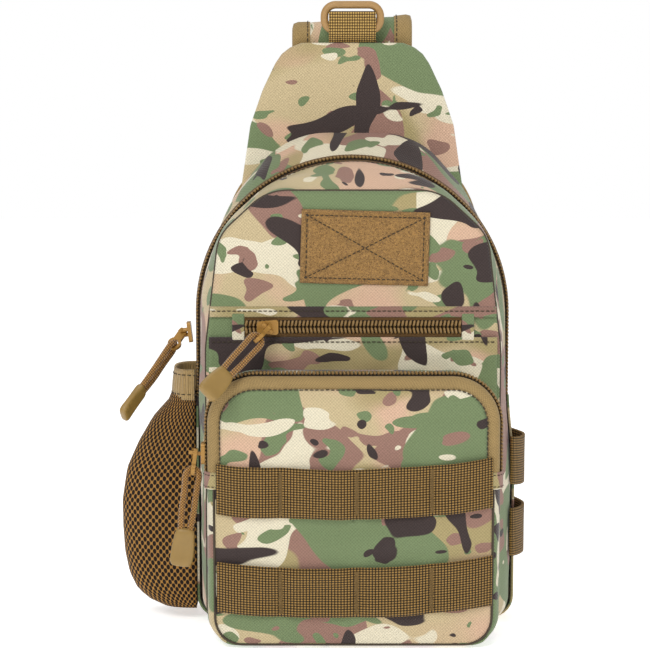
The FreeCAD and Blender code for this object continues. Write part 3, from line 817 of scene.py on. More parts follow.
def mirrored(right: list[tuple[float, float]], radii: list[float], count: int) -> np.ndarray:
    """Closed outline that is the same on both sides.

    Args:
        right: Corners of its right half, from the bottom up.
        radii: One radius for each of those corners.
        count: Points wanted along the outline.

    Returns:
        Evenly spaced points.
    """
    left = [(-x, z) for x, z in reversed(right)]
    return rounded(right + left, radii + radii[::-1], count)


def frames_along(path: np.ndarray, hint: np.ndarray) -> tuple[np.ndarray, np.ndarray, np.ndarray]:
    """Directions at each point of a path.

    Args:
        path: Points in millimetres.
        hint: Rough outward direction, one for all points or one for each.

    Returns:
        Unit tangents, unit outward directions square to them, and the third directions.
    """
    tangent = np.gradient(path, axis=0)
    tangent /= np.linalg.norm(tangent, axis=1, keepdims=True)
    hint = np.broadcast_to(hint, path.shape)
    outward = hint - tangent * np.einsum("ij,ij->i", hint, tangent)[:, None]
    outward /= np.linalg.norm(outward, axis=1, keepdims=True)
    return tangent, outward, np.cross(tangent, outward)


def repeated(name: str, path: np.ndarray, hint: np.ndarray, unit: np.ndarray, faces: np.ndarray,
             pitch: float, sway: float = 0.0) -> bpy.types.Object:
    """Copy a small shape along a path at a pitch.

    Args:
        name: The piece's name.
        path: The path in millimetres.
        hint: Outward direction, one for all or one for each point.
        unit: The shape's points: along, across, outward.
        faces: The shape's faces.
        pitch: The distance between copies.
        sway: Seeded jitter of each copy, in millimetres.

    Returns:
        One object of all the copies.
    """
    length = float(np.linalg.norm(np.diff(path, axis=0), axis=1).sum())
    count = max(2, int(length / pitch))
    dense = even_path(path, count)
    hints = np.broadcast_to(hint, path.shape)
    spread = even_path(np.hstack([path, hints]), count)[:, 3:] if hints.shape == path.shape else hints
    tangent, outward, across = frames_along(dense, spread)
    jitter = np.random.default_rng(len(name)).normal(0.0, 1.0, (count, 1, 1)) * sway
    points = (dense[:, None, :] + unit[None, :, 0, None] * tangent[:, None, :]
              + (unit[None, :, 1, None] + jitter) * across[:, None, :]
              + unit[None, :, 2, None] * outward[:, None, :])
    offsets = (np.arange(count) * len(unit))[:, None, None]
    return mesh_object(name, points.reshape(-1, 3), (faces[None] + offsets).reshape(-1, faces.shape[1]))


def capsule(length: float, width: float, height: float, slant: float = 0.0) -> tuple[np.ndarray, np.ndarray]:
    """Small rounded bar: three rings of six points with flat ends.

    Args:
        length: Its size along the path.
        width: Its size across the path.
        height: Its size outward.
        slant: How far its two ends lean apart along the path.

    Returns:
        Points and four-cornered faces.
    """
    angle = np.arange(6) * math.pi / 3.0
    share = np.array([-0.5, -0.28, 0.28, 0.5])
    girth = np.array([0.55, 1.0, 1.0, 0.55])
    across = share[:, None] * width * np.ones(6)
    along = girth[:, None] * np.cos(angle) * length / 2.0 + share[:, None] * slant
    outward = girth[:, None] * np.sin(angle) * height / 2.0
    points = points_at(along, across, outward).reshape(-1, 3)
    ring, spoke = np.meshgrid(np.arange(3), np.arange(6), indexing="ij")
    ring, spoke = ring.ravel(), spoke.ravel()
    after = (spoke + 1) % 6
    sides = np.stack([ring * 6 + spoke, ring * 6 + after, (ring + 1) * 6 + after, (ring + 1) * 6 + spoke], 1)
    caps = np.array([[3, 2, 1, 0], [5, 4, 3, 0], [18, 19, 20, 21], [18, 21, 22, 23]])
    return points, np.vstack([sides[:, ::-1], caps[:, ::-1]])


def stitches(name: str, path: np.ndarray, hint: np.ndarray, finish: Finish = Finish.THREAD,
             pitch: float = 2.6, body: str = ROOT) -> bpy.types.Object:
    """A row of lock stitches along a path.

    Args:
        name: The piece's name.
        path: The row's path in millimetres.
        hint: The cloth's outward direction.
        finish: The thread.
        pitch: Stitch length with its gap.
        body: The body that carries it.

    Returns:
        The dressed object.
    """
    points, faces = capsule(0.55, pitch * 0.74, 0.5)
    points = points[:, [1, 0, 2]]
    piece = repeated(name, path, hint, points, faces[:, ::-1], pitch, 0.04)
    return place_piece(piece, finish, body=body)


def tube(name: str, path: np.ndarray, radius: float, closed: bool = False, sides: int = 10,
         flatten: float = 1.0, hint: tuple[float, float, float] = FRONT) -> Sheet:
    """Round bead along a path: a circle carried square to it.

    Args:
        name: The piece's name.
        path: The path in millimetres.
        radius: The bead's radius.
        closed: Whether the path is a loop.
        sides: Points round the circle.
        flatten: Height over width.
        hint: Rough outward direction.

    Returns:
        The surface; an open bead's ends draw in to a point.
    """
    if closed:
        path = np.vstack([path[-1:], path, path[:2]])
    _, outward, across = frames_along(path, np.array(hint))
    angle = np.linspace(0.0, 2.0 * math.pi, sides, endpoint=False)
    girth = np.full(len(path), radius)
    if not closed:
        girth[0] = girth[-1] = radius * 0.05
    circle = (np.cos(angle)[None, :, None] * across[:, None, :]
              + np.sin(angle)[None, :, None] * outward[:, None, :] * flatten)
    grid = path[:, None, :] + circle * girth[:, None, None]
    if closed:
        grid = grid[1:-1]
    return Sheet(name, grid, ring=True)


def points_at(x: np.ndarray | float, y: np.ndarray | float, z: np.ndarray | float) -> np.ndarray:
    """Join three coordinates, each an array or one number for all, into points."""
    return np.stack(np.broadcast_arrays(x, y, z), axis=-1)


def boxed(wave: np.ndarray, power: float) -> np.ndarray:
    """Square a circle off: a sine or cosine's sign times its size to a power below 1."""
    return np.sign(wave) * np.abs(wave) ** power


def step(value: np.ndarray | float, low: float, high: float) -> np.ndarray:
    """Smooth step from 0 at low to 1 at high."""
    share = np.clip((np.asarray(value, float) - low) / (high - low), 0.0, 1.0)
    return share * share * (3.0 - 2.0 * share)


def polar(outline: np.ndarray, centre: tuple[float, float], rings: int) -> np.ndarray:
    """Grid over an outline: each ring is the outline drawn in towards the centre.

    Args:
        outline: Flat points, a closed loop.
        centre: The point that the rings close on.
        rings: Number of rings.

    Returns:
        Flat grid, from the edge to the centre.
    """
    share = np.linspace(1.0, 0.002, rings)[:, None, None]
    return np.array(centre) + (outline[None] - np.array(centre)) * share


@dataclass
class Compartment:
    """Main compartment: face, gussets, seams and base."""

    face_half: float = 76.0
    face_top: float = 231.0
    face_y: float = -15.6
    zip_half: float = 83.0
    zip_top: float = 248.0
    zip_front: float = 10.8
    zip_rear: float = 19.2
    rear_y: float = 43.0
    puff: float = 3.4
    foot: float = 12.0
    face_cut: tuple[float, float] = (0.31, 0.17)
    columns: int = 280

    def face_outline(self) -> np.ndarray:
        """Outline of the face: upright sides and broad shoulders.

        Returns:
            Evenly spaced flat points.
        """
        half, top = self.face_half, self.face_top
        right = [(half, 0.0), (half, 150.0), (69.0, 208.0), (44.0, top)]
        return mirrored(right, [self.foot, 60.0, 22.0, 26.0], self.columns)

    def zip_outline(self, grow: float) -> np.ndarray:
        """Outline at the zip: half a circle on upright sides.

        Args:
            grow: How far outside the zip it runs.

        Returns:
            Evenly spaced flat points.
        """
        half, top = self.zip_half + grow, self.zip_top + grow
        bevel = half * math.tan(math.pi / 8.0)
        right = [(half, 0.0), (half, top - half + bevel), (bevel, top)]
        return mirrored(right, [self.foot, half - 1.0, half - 1.0], self.columns)

    def rear_outline(self) -> np.ndarray:
        """Outline of the seam with the back: sides that narrow to a low arch."""
        return mirrored([(81.0, 0.0), (66.0, 222.0), (34.0, 263.0)], [self.foot, 46.0, 44.0], self.columns)

    def reach(self, x: np.ndarray, z: np.ndarray) -> np.ndarray:
        """Share of the way from the face's middle to its edge, as a rounded-box distance.

        Args:
            x: Places across.
            z: Heights.

        Returns:
            0 in the middle, 1 at the edge.
        """
        across = np.abs(x) / self.face_half
        upward = np.abs(z - self.face_top / 2.0) / (self.face_top / 2.0)
        return (across ** 4 + upward ** 4) ** 0.25

    def face_at(self, x: np.ndarray, z: np.ndarray) -> np.ndarray:
        """Depth of the face: a crown above the slot zip, ripples, and a rolled edge.

        Args:
            x: Places across.
            z: Heights.

        Returns:
            The depth at each point.
        """
        inner = 1.0 - np.clip(self.reach(x, z), 0.0, 1.0) ** 3
        crown = self.puff * inner * step(z, 172.0, 196.0)
        low_ripple = ripples(x, z * 1.4, 5, 46.0) * 1.1 * inner
        return self.face_y - crown - low_ripple * step(np.abs(z - 161.0), 6.0, 22.0)

    def loft(self, first: np.ndarray, second: np.ndarray, start: float, end: float, rows: int, bulge: float,
             seed: int) -> np.ndarray:
        """Wall between two outlines, swelling outward in the middle with ripples.

        Args:
            first: Outline at the start.
            second: Outline at the end.
            start: Depth of the first.
            end: Depth of the second.
            rows: Rows between them.
            bulge: Height of the swell.
            seed: The ripples' draw.

        Returns:
            The grid.
        """
        share = np.linspace(0.0, 1.0, rows)[:, None, None]
        flat = first[None] * (1.0 - share) + second[None] * share
        depth = np.broadcast_to(start + (end - start) * share[:, :, 0], flat.shape[:2])
        centre = np.array([0.0, 120.0])
        away = flat - centre
        away = away / np.linalg.norm(away, axis=2, keepdims=True)
        wave = ripples(flat[..., 0] + depth * 2.0, flat[..., 1], seed, 40.0) * 0.8
        swell = np.sin(math.pi * share[:, :, 0]) * (bulge + wave) * step(flat[..., 1], 6.0, 40.0)
        flat = flat + away * swell[..., None]
        flat[..., 0] += self.sag(flat[..., 0], flat[..., 1], depth)
        return points_at(flat[..., 0], depth, flat[..., 1])

    def sag(self, x: np.ndarray, z: np.ndarray, depth: np.ndarray) -> np.ndarray:
        """How far the full compartment sags outward, low on its right side."""
        return 3.6 * step(x, 20.0, 70.0) * step(128.0 - z, 0.0, 50.0) * step(depth, -15.0, 6.0)

    def ring(self, outline: np.ndarray, depth: float, grow: float = 0.0) -> np.ndarray:
        """An outline as a path in space, grown outward.

        Args:
            outline: Flat points, a closed loop.
            depth: Where the path lies.
            grow: How far outside the outline it runs.

        Returns:
            The path.
        """
        closed = np.vstack([outline[-1:], outline, outline[:1]])
        direction = np.gradient(closed, axis=0)[1:-1]
        direction /= np.linalg.norm(direction, axis=1, keepdims=True)
        outward = np.stack([direction[:, 1], -direction[:, 0]], axis=1)
        moved = outline + outward * grow
        return points_at(moved[:, 0], depth, moved[:, 1])

    def build(self) -> None:
        """Make and dress the compartment's cloth."""
        face, arch, rear = self.face_outline(), self.zip_outline(0.0), self.rear_outline()
        flat = polar(face, (0.0, 118.0), 44)
        grid = points_at(flat[..., 0], self.face_at(flat[..., 0], flat[..., 1]), flat[..., 1])
        panel = Sheet("face_cloth", grid, ring=True, cut=self.face_cut, upright=True, thick=1.4, away=FRONT)
        panel.dress(Finish.CAMOUFLAGE, ("front_panel",))
        wall = self.loft(face, self.zip_outline(-2.6), self.face_y + 0.6, self.zip_front, 14, 1.6, 11)
        self.cloth("front_gusset_cloth", wall, (1.13, 0.4), ("front_gusset",))
        low = self.low_band(arch)
        self.cloth("lower_gusset_cloth", low, (2.7, 0.9), ("lower_gusset",), ring=False)
        wall = self.loft(self.zip_outline(-0.2), rear, self.zip_rear, self.rear_y, 16, 0.9, 23)
        self.cloth("rear_gusset_cloth", wall, (4.2, 1.6), ("rear_gusset",))
        self.base()
        # The face seam is real, but its bead is dark thread colour as painted shade of the fold along the
        # face's edge.
        tube("face_seam", self.ring(face, self.face_y + 0.6, 0.2), 0.6, closed=True).dress(
            Finish.THREAD, slot="khaki_cloth")
        tube("rear_seam", self.ring(rear, self.rear_y + 0.2, 0.1), 1.0, closed=True).dress(Finish.KHAKI)

    def base(self) -> None:
        """Base panel under the compartment."""
        x, y = np.meshgrid(np.linspace(-66.0, 66.0, 30), np.linspace(self.face_y + 2.0, self.rear_y, 14))
        Sheet("base_cloth", points_at(x, y, 0.2), thick=1.0,
                      away=DOWN).dress(Finish.CAMOUFLAGE, ("base_panel", "base_board", "divider"))

    def low_band(self, arch: np.ndarray) -> np.ndarray:
        """The wall between the zip's two ends, round the base.

        Args:
            arch: Outline at the zip.

        Returns:
            The grid.
        """
        start = int(np.argmin(np.where(arch[:, 0] < 0.0, np.abs(arch[:, 1] - 120.0), 1e9)))
        rolled = np.roll(arch, -start, axis=0)
        stop = int(np.argmin(np.where(rolled[:, 0] > 0.0, np.abs(rolled[:, 1] - 120.0), 1e9)))
        path = rolled[:stop + 1]
        depth = np.linspace(self.zip_front, self.zip_rear, 5)
        x = path[None, :, 0] + self.sag(path[None, :, 0], path[None, :, 1], depth[:, None])
        grid = points_at(x, depth[:, None], path[None, :, 1])
        return grid

    def cloth(self, name: str, grid: np.ndarray, cut: tuple[float, float], nodes: tuple[str, ...],
              ring: bool = True) -> bpy.types.Object:
        """A camouflage wall of cloth."""
        piece = Sheet(name, grid, ring=ring, cut=cut, thick=CLOTH, inside=BAG_MIDDLE).build()
        return place_piece(piece, Finish.CAMOUFLAGE, nodes)


@dataclass
class ZipRun:
    """One zip's coil, along a path; the callers make its two woven tapes."""

    name: str
    path: np.ndarray
    hint: np.ndarray
    pitch: float = 1.9
    spread: float = 2.5

    def chain(self) -> None:
        """Two rows of coil, each of slanted capsules, over a dark strip down the middle that is painted
        shade between them.
        """
        _, outward, across = frames_along(self.path, self.hint)
        for side, label in ((-1.0, "near"), (1.0, "far")):
            unit, faces = capsule(1.45, 3.2, 1.7, 0.6 * side)
            row = self.path + across * self.spread * 0.72 * side + outward * 0.35
            piece = repeated(f"{self.name}_coil_{label}", row, self.hint, unit, faces, self.pitch)
            place_piece(piece, Finish.COIL)
        # Painted shade: a dark cloth strip under the coil rows stands in for the shade between them.
        shade_strip = self.path - outward * 0.35
        grid = np.stack([shade_strip + across * shift for shift in (-3.4, -1.0, 1.0, 3.4)], axis=0)
        Sheet(f"{self.name}_bed", grid, thick=0.5, inside=BAG_MIDDLE).dress(Finish.COIL_SHADE, slot="zip_tape")


@dataclass
class MainZip:
    """Zip over the compartment's crown."""

    radius: float = 83.0
    centre_z: float = 165.0
    end_z: float = 118.0
    middle_y: float = 15.0

    def arch(self, grow: float, depth: float, count: int = 260) -> np.ndarray:
        """Half a circle on two straight legs.

        Args:
            grow: How far outside the zip it runs.
            depth: Where it lies.
            count: Points wanted.

        Returns:
            The path.
        """
        reach = self.radius + grow - 1.7 + (depth - self.middle_y) * 0.3
        bevel = reach * math.tan(math.pi / 8.0)
        high = self.centre_z + reach
        corners = [(-reach, self.end_z), (-reach, self.centre_z + bevel), (-bevel, high), (bevel, high),
                   (reach, self.centre_z + bevel), (reach, self.end_z)]
        flat = rounded(corners, [0.0] + [reach - 0.6] * 4 + [0.0], count, closed=False)
        return points_at(flat[:, 0], depth, flat[:, 1])

    def outward(self, path: np.ndarray) -> np.ndarray:
        """Direction away from the arch's centre, level beside the legs.

        Args:
            path: The path.

        Returns:
            One unit direction per point.
        """
        away = path - np.array([0.0, self.middle_y, self.centre_z])
        away[:, 1] = 0.0
        away[:, 2] = np.maximum(away[:, 2], 0.0)
        return away / np.linalg.norm(away, axis=1, keepdims=True)

    def build(self) -> None:
        """Make the tapes, the coil and the rows of stitches beside them."""
        path = self.arch(0.5, self.middle_y)
        ZipRun("main_zip", path, self.outward(path)).chain()
        for label, edges, node in (("front", (9.6, 10.6, 11.6, 12.6), "main_zip_tape_front"),
                                   ("rear", (17.4, 18.4, 19.4, 20.4), "main_zip_tape_rear")):
            grid = np.stack([self.arch(0.5, depth) for depth in edges], axis=0)
            piece = Sheet(f"main_zip_{label}_tape", grid, thick=0.7, inside=BAG_MIDDLE).build()
            extra = (node, "main_zip_chain") if label == "front" else (node,)
            place_piece(piece, Finish.TAPE, extra)
        for label, depth in (("front", 8.6), ("rear", 21.4)):
            row = self.arch(0.9 if label == "front" else -0.5, depth)
            stitches(f"main_zip_{label}_stitches", row, self.outward(row))


@dataclass
class SlotZip:
    """Zip across the face, with its hems, end tabs, slip panel and the loop patch above."""

    body: Compartment
    height: float = 161.0
    half: float = 56.0
    patch_centre: tuple[float, float] = (6.0, 202.0)
    patch_size: tuple[float, float] = (66.0, 38.0)
    tilt: float = 1.6

    def strip(self, left: float, right: float, low: float, high: float, lift: float, columns: int,
              rows: int) -> np.ndarray:
        """Upright strip laid on the face."""
        x, z = np.meshgrid(np.linspace(left, right, columns), np.linspace(low, high, rows))
        return points_at(x, self.body.face_at(x, z) - lift, z)

    def build(self) -> None:
        """Make the slot zip and what is sewn round it."""
        front = np.array(FRONT)
        Sheet("slot_zip_tape_cloth", self.strip(-57.0, 57.0, 154.6, 167.2, 0.8, 60, 5), thick=0.6,
                     away=FRONT).dress(Finish.TAPE, ("slot_zip_tape", "slot_zip_chain"))
        x = np.linspace(-55.0, 55.0, 80)
        path = points_at(x, self.body.face_y - 1.5, self.height)
        ZipRun("slot_zip", path, front).chain()
        for label, left, right in (("left", -62.5, -56.0), ("right", 56.0, 62.5)):
            nodes = ("slot_zip_end_tabs",) if label == "left" else ()
            tab = self.strip(left, right, 153.8, 168.0, 1.9, 8, 10)
            Sheet(f"slot_end_tab_{label}", tab, thick=1.3, away=FRONT, round_off=1).dress(
                Finish.CAMOUFLAGE, nodes)
        hem = self.strip(-74.0, 74.0, 166.0, 171.5, 1.5, 60, 6)
        hem[:, :, 1] += step(hem[:, :, 2], 168.5, 171.5) * 1.5
        Sheet("slot_upper_hem", hem, cut=(0.9, 2.2), thick=0.9, away=FRONT).dress(Finish.CAMOUFLAGE)
        slip = self.strip(-74.5, 74.5, 120.0, 155.6, 1.7, 90, 26)
        wave = ripples(slip[..., 0], slip[..., 2] * 2.2, 31, 34.0) * 0.9
        slip[..., 1] -= (wave + 0.9) * step(155.0 - slip[..., 2], 0.0, 9.0)
        Sheet("slip_cloth", slip, cut=(1.7, 3.1), thick=CLOTH, away=FRONT).dress(
            Finish.CAMOUFLAGE, ("slip_panel",))
        for label, height, lift in (("upper", 169.2, 1.6), ("lower", 153.2, 2.2)):
            x = np.linspace(-72.0, 72.0, 60)
            row = points_at(x, self.body.face_at(x, np.full(60, height)) - lift - 0.1, height)
            stitches(f"slot_{label}_stitches", row, front)
        self.patch(front)

    def patch(self, front: np.ndarray) -> None:
        """Loop patch: pile inside a flat selvage, sewn round its border and from corner to corner.

        Args:
            front: The face's outward direction.
        """
        wide, high = self.patch_size

        def turned(across: np.ndarray, upward: np.ndarray, lift: float) -> np.ndarray:
            """Points of the patch's own plane, tilted and laid on the face.

            Args:
                across: Places along the patch's width.
                upward: Places along its height.
                lift: How far off the face.

            Returns:
                The points.
            """
            angle = math.radians(-self.tilt)
            x = self.patch_centre[0] + across * math.cos(angle) - upward * math.sin(angle)
            z = self.patch_centre[1] + across * math.sin(angle) + upward * math.cos(angle)
            return points_at(x, self.body.face_at(x, z) - lift, z)

        across, upward = np.meshgrid(np.linspace(-wide / 2.0, wide / 2.0, 70),
                                     np.linspace(-high / 2.0, high / 2.0, 42))
        edge = np.minimum(wide / 2.0 - np.abs(across), high / 2.0 - np.abs(upward))
        fluff = ripples(across, upward, 77, 3.2, 12) * 0.22
        sewn = np.exp(-((edge - 3.0) / 0.9) ** 2)
        for sign in (-1.0, 1.0):
            line = np.abs(upward - sign * across * (high - 6.0) / (wide - 6.0)) * 0.87
            sewn = np.maximum(sewn, np.exp(-(line / 0.9) ** 2) * (edge > 3.0))
        grid = turned(across, upward, 0.0)
        grid[..., 1] -= 1.0 + step(edge, 0.4, 2.2) * 1.3 + fluff * step(edge, 1.0, 3.0) - sewn * 0.9
        Sheet("loop_patch_pile", grid, thick=0.9, away=FRONT).dress(Finish.PILE, ("loop_patch",))
        right, top = wide / 2.0 - 3.0, high / 2.0 - 3.0
        corners = ((-right, -top), (right, -top), (right, top), (-right, top))
        runs = tuple(zip(corners, corners[1:] + corners[:1]))
        runs += ((corners[0], corners[2]), (corners[3], corners[1]))
        share = np.linspace(0.0, 1.0, 24)
        for number, (first, last) in enumerate(runs):
            path = turned(first[0] + (last[0] - first[0]) * share, first[1] + (last[1] - first[1]) * share,
                          1.75)
            stitches(f"patch_stitches_{number}", path, front, Finish.THREAD, 2.4)


@dataclass
class Pocket:
    """Front pocket: its panel, zip band, gussets, end tabs and the two rows of front webbing."""

    half: float = 74.0
    top: float = 139.0
    corner: float = 24.0
    front_y: float = -46.0
    tabs_x: tuple[float, float, float] = (-37.0, 1.5, 39.5)
    cut: tuple[float, float] = (0.62, 0.23)

    def bow(self, x: np.ndarray, z: np.ndarray) -> np.ndarray:
        """How far the sewn rows ride up toward the pocket's sides, more on the right."""
        rise = 0.022 * x + 4.2 * (np.abs(x) / self.half) ** 2.2
        return rise * step(z, 2.0, 22.0) * step(134.0 - z, 0.0, 26.0)

    def front_at(self, x: np.ndarray, z: np.ndarray) -> np.ndarray:
        """Depth of the panel: puffed between its seams and wrinkled by the webbing's tacks.

        Args:
            x: Places across.
            z: Heights.

        Returns:
            The depth at each point.
        """
        across = np.clip(1.0 - np.abs(x / 72.5) ** 4, 0.0, 1.0)
        upward = np.clip(1.0 - np.abs((z - 68.0) / 68.0) ** 5, 0.0, 1.0)
        swell = 3.8 * across * upward
        wave = ripples(x, z * 1.7, 41, 38.0) * 1.5 * across * upward
        return self.front_y - 0.2 - swell - wave

    def path(self, grow: float, depth: float, low: float = 0.0, count: int = 220) -> np.ndarray:
        """Upside-down U of the pocket's edge.

        Args:
            grow: How far outside the edge it runs.
            depth: Where it lies.
            low: Height of its two ends.
            count: Points wanted.

        Returns:
            The path.
        """
        half, top, corner = self.half + grow, self.top + grow, self.corner + grow
        flat = rounded([(-half, low), (-half, top), (half, top), (half, low)], [0.0, corner, corner, 0.0],
                       count, closed=False)
        return points_at(flat[:, 0], depth, flat[:, 1])

    def build(self) -> None:
        """Make the pocket."""
        right = [(70.5, 0.8), (71.0, 84.0), (67.5, 88.0), (67.5, 133.0)]
        outline = mirrored(right, [14.0, 3.0, 3.0, 17.5], 240)
        flat = polar(outline, (0.0, 66.0), 46)
        x, z = flat[..., 0], flat[..., 1]
        grid = points_at(x, self.front_at(x, z), z)
        Sheet("pocket_cloth", grid, ring=True, cut=self.cut, upright=True, thick=CLOTH, away=FRONT).dress(
            Finish.CAMOUFLAGE, ("pocket_panel", "pocket_back"))
        self.edges()
        self.rows()

    def profile(self, name: str, steps: list[tuple[float, float]], finish: Finish, nodes: tuple[str, ...],
                low: float, thick: float = 1.0) -> None:
        """Carry a small profile of (growth, depth) steps round the pocket's edge.

        Args:
            name: The piece's name.
            steps: Growth and depth of each row.
            finish: Its finish.
            nodes: CAD nodes that it stands for.
            low: Height of its two ends.
            thick: Its thickness.
        """
        grid = np.stack([self.path(grow, depth, low) for grow, depth in steps], axis=0)
        Sheet(name, grid, cut=(0.2, 1.1), thick=thick, inside=POCKET_MIDDLE).dress(finish, nodes)

    def edges(self) -> None:
        """Band, zip, gussets, end tabs and their rows of stitches."""
        out = np.array((0.0, -0.6, 0.0))
        band = [(-6.6, -45.6), (-6.4, -46.9), (-3.4, -47.0), (-1.2, -46.6), (-0.2, -45.2), (0.2, -43.6),
                (0.0, -42.4)]
        tape = [(-0.4, -43.2), (0.2, -41.6), (0.2, -36.8), (-0.4, -35.2)]
        wall = [(0.3, -36.0), (0.6, -33.0), (0.4, -28.0), (0.0, -22.0), (-0.2, -17.6)]
        self.profile("pocket_edge_band", band, Finish.KHAKI, ("pocket_band",), 88.0)
        self.profile("pocket_zip_tape_cloth", tape, Finish.TAPE, ("pocket_zip_tape", "pocket_zip_chain"),
                     86.0, 0.7)
        self.profile("pocket_upper_gusset_cloth", wall, Finish.CAMOUFLAGE, ("pocket_gusset_upper",), 80.0)
        base = rounded([(-73.6, 86.0), (-73.6, 0.6), (73.6, 0.6), (73.6, 86.0)], [0.0, 14.0, 14.0, 0.0], 160,
                       closed=False)
        depths = (-46.6, -45.4, -43.0, -38.0, -30.0, -22.0, -15.8)
        swell = (-3.0, -1.2, 0.2, 1.2, 1.5, 1.0, 0.2)
        away = np.sign(base[:, 0]) * step(base[:, 1], 1.0, 9.0)
        grid = np.stack([points_at(base[:, 0] + away * grow, depth, base[:, 1])
                         for depth, grow in zip(depths, swell)], axis=0)
        Sheet("pocket_lower_gusset_cloth", grid, cut=(0.5, 3.3), thick=CLOTH, inside=POCKET_MIDDLE).dress(
            Finish.CAMOUFLAGE, ("pocket_gusset_lower",))
        chain = self.path(0.9, -39.2, 90.0)
        centre = chain - np.array([0.0, -39.2, 100.0])
        beside = np.sign(centre[:, 0]) * (np.abs(centre[:, 0]) > 50.0)
        hint = points_at(beside, 0.0, chain[:, 2] > 112.0) + 1e-3
        ZipRun("pocket_zip", chain, hint, 1.9, 2.2).chain()
        for label, sign in (("left", -1.0), ("right", 1.0)):
            corners = np.array([(-1.5, -33.0), (1.6, -36.0), (2.2, -43.0), (-0.4, -46.9), (-4.8, -48.0)])
            turn = even_path(corners, 16)
            grid = np.stack([points_at(sign * (self.half + turn[:, 0]), turn[:, 1], height)
                             for height in np.linspace(81.5, 90.5, 7)], axis=0)
            Sheet(f"pocket_end_tab_{label}", grid, cut=(0.3, 4.4), thick=CLOTH, inside=(0.0, -30.0, 86.0),
                          round_off=1).dress(
                              Finish.CAMOUFLAGE, ("pocket_zip_end_tabs",) if sign < 0.0 else ())
            for number, height in enumerate((83.0, 89.0)):
                row = points_at(sign * (self.half + turn[:, 0]), turn[:, 1], height)
                hint = row - np.array([0.0, -30.0, height])
                stitches(f"end_tab_stitches_{label}_{number}", row, hint, Finish.THREAD, 2.0)
        stitches("pocket_band_stitches", self.path(-6.3, -47.4, 92.0), np.array(FRONT))
        hint = self.path(0.6, -34.4, 92.0) - np.array([0.0, -34.4, 60.0])
        stitches("pocket_gusset_stitches", self.path(0.9, -33.6, 92.0), hint + out)
        low = rounded([(70.9, 84.0), (70.5, 1.0), (-70.5, 1.0), (-70.9, 84.0)], [0.0, 14.0, 14.0, 0.0],
                      150, closed=False)
        seam = points_at(low[:, 0], self.front_at(low[:, 0], low[:, 1]) - 0.2, low[:, 1])
        tube("pocket_seam", seam + np.array([0.0, 0.1, 0.0]), 0.6).dress(Finish.THREAD, slot="khaki_cloth")

    def rows(self) -> None:
        """Two rows of wide webbing, sewn down by upright tacks that pinch them."""
        for label, middle, node, seed in (("upper", 80.2, "front_webbing_upper", 3),
                                          ("lower", 29.3, "front_webbing_lower", 8)):
            x, drop = np.meshgrid(np.linspace(-69.6, 70.4, 150), np.linspace(-12.9, 12.9, 14))
            shift = self.bow(x, np.full_like(x, middle))
            z = middle + shift + drop + ripples(x, np.zeros_like(x), seed, 60.0) * 0.5
            pinch = np.zeros_like(x)
            for tack in self.tabs_x + (-70.0, 70.5):
                pinch = np.maximum(pinch, np.exp(-((x - tack) / 5.5) ** 2))
            lift = 1.9 + (1.0 - pinch) * 1.2
            lift += ripples(x, drop * 2.0, seed + 20, 40.0) * 0.35 * (1.0 - pinch)
            lift -= (np.abs(drop) > 12.0) * 0.4
            grid = points_at(x, self.front_at(x, np.clip(z, 3.0, 132.0)) - lift, z)
            Sheet(f"front_webbing_{label}_row", grid, cut=(0.3, 0.7 if seed == 3 else 1.9), thick=1.6,
                          away=FRONT).dress(Finish.WEBBING, (node,))
            for number, tack in enumerate(self.tabs_x):
                self.tack(f"tack_{label}_{number}", tack, middle)

    def tack(self, name: str, x: float, middle: float) -> None:
        """Bar tack: thread laid to and fro across an upright line.

        Args:
            name: The piece's name.
            x: The tack's place across.
            middle: Height of the webbing's middle.
        """
        drop = np.linspace(-10.8, 10.8, 30)
        row_x = np.full(30, x)
        z = middle + self.bow(row_x, np.full(30, middle)) + drop
        depth = self.front_at(row_x, z) - 2.05
        path = points_at(row_x, depth, z)
        unit, faces = capsule(0.42, 2.1, 0.55, 0.12)
        piece = repeated(name, path, np.array(FRONT), unit, faces, 0.52, 0.12)
        place_piece(piece, Finish.TAN_THREAD)


@dataclass
class Neck:
    """Cloth neck above the arch: a closed flat section that stands in for the panel and its foam."""

    top: float = 306.8
    cut: tuple[float, float] = (4.4, 2.7)

    def half_width(self, z: np.ndarray) -> np.ndarray:
        """Half of the neck's width at a height.

        Args:
            z: Heights.

        Returns:
            The half width at each height.
        """
        heights = [196.0, 222.0, 231.0, 263.0, 282.0, 296.0, 301.0, 304.5, 306.8]
        halves = [58.0, 60.0, 59.5, 54.6, 47.8, 41.0, 37.5, 33.0, 27.0]
        return np.interp(z, heights, halves)

    def build(self) -> None:
        """Make the neck as a closed flat section carried up from inside the compartment."""
        high = np.concatenate([np.linspace(226.0, 300.0, 40), np.linspace(301.0, self.top, 10),
                               np.full(3, self.top)])
        angle = np.linspace(0.0, 2.0 * math.pi, 120, endpoint=False)
        cos = boxed(np.cos(angle), 0.45)
        sin = boxed(np.sin(angle), 0.75)
        close = np.concatenate([np.ones(50), [0.9, 0.5, 0.02]])
        rise = step(high, 240.0, self.top)[:, None]
        x = self.half_width(high)[:, None] * cos * close[:, None]
        z = np.broadcast_to(high[:, None], x.shape)
        thick = 3.6 * np.concatenate([np.ones(48), [0.92, 0.8, 0.7, 0.5, 0.02]])[:, None]
        middle = 42.0 - 7.2 * rise
        swell = 1.6 * np.cos(x / 62.0 * math.pi / 2.0) * np.sin(rise * math.pi)
        y = middle + thick * sin - (swell + ripples(x, z, 61, 30.0) * 0.7) * (sin < 0.0)
        skin = Sheet("neck_cloth", points_at(x, y, z), ring=True, cut=self.cut, upright=True,
                     inside=(0.0, 39.0, 260.0))
        skin.dress(Finish.CAMOUFLAGE, ("neck_panel", "neck_foam"))


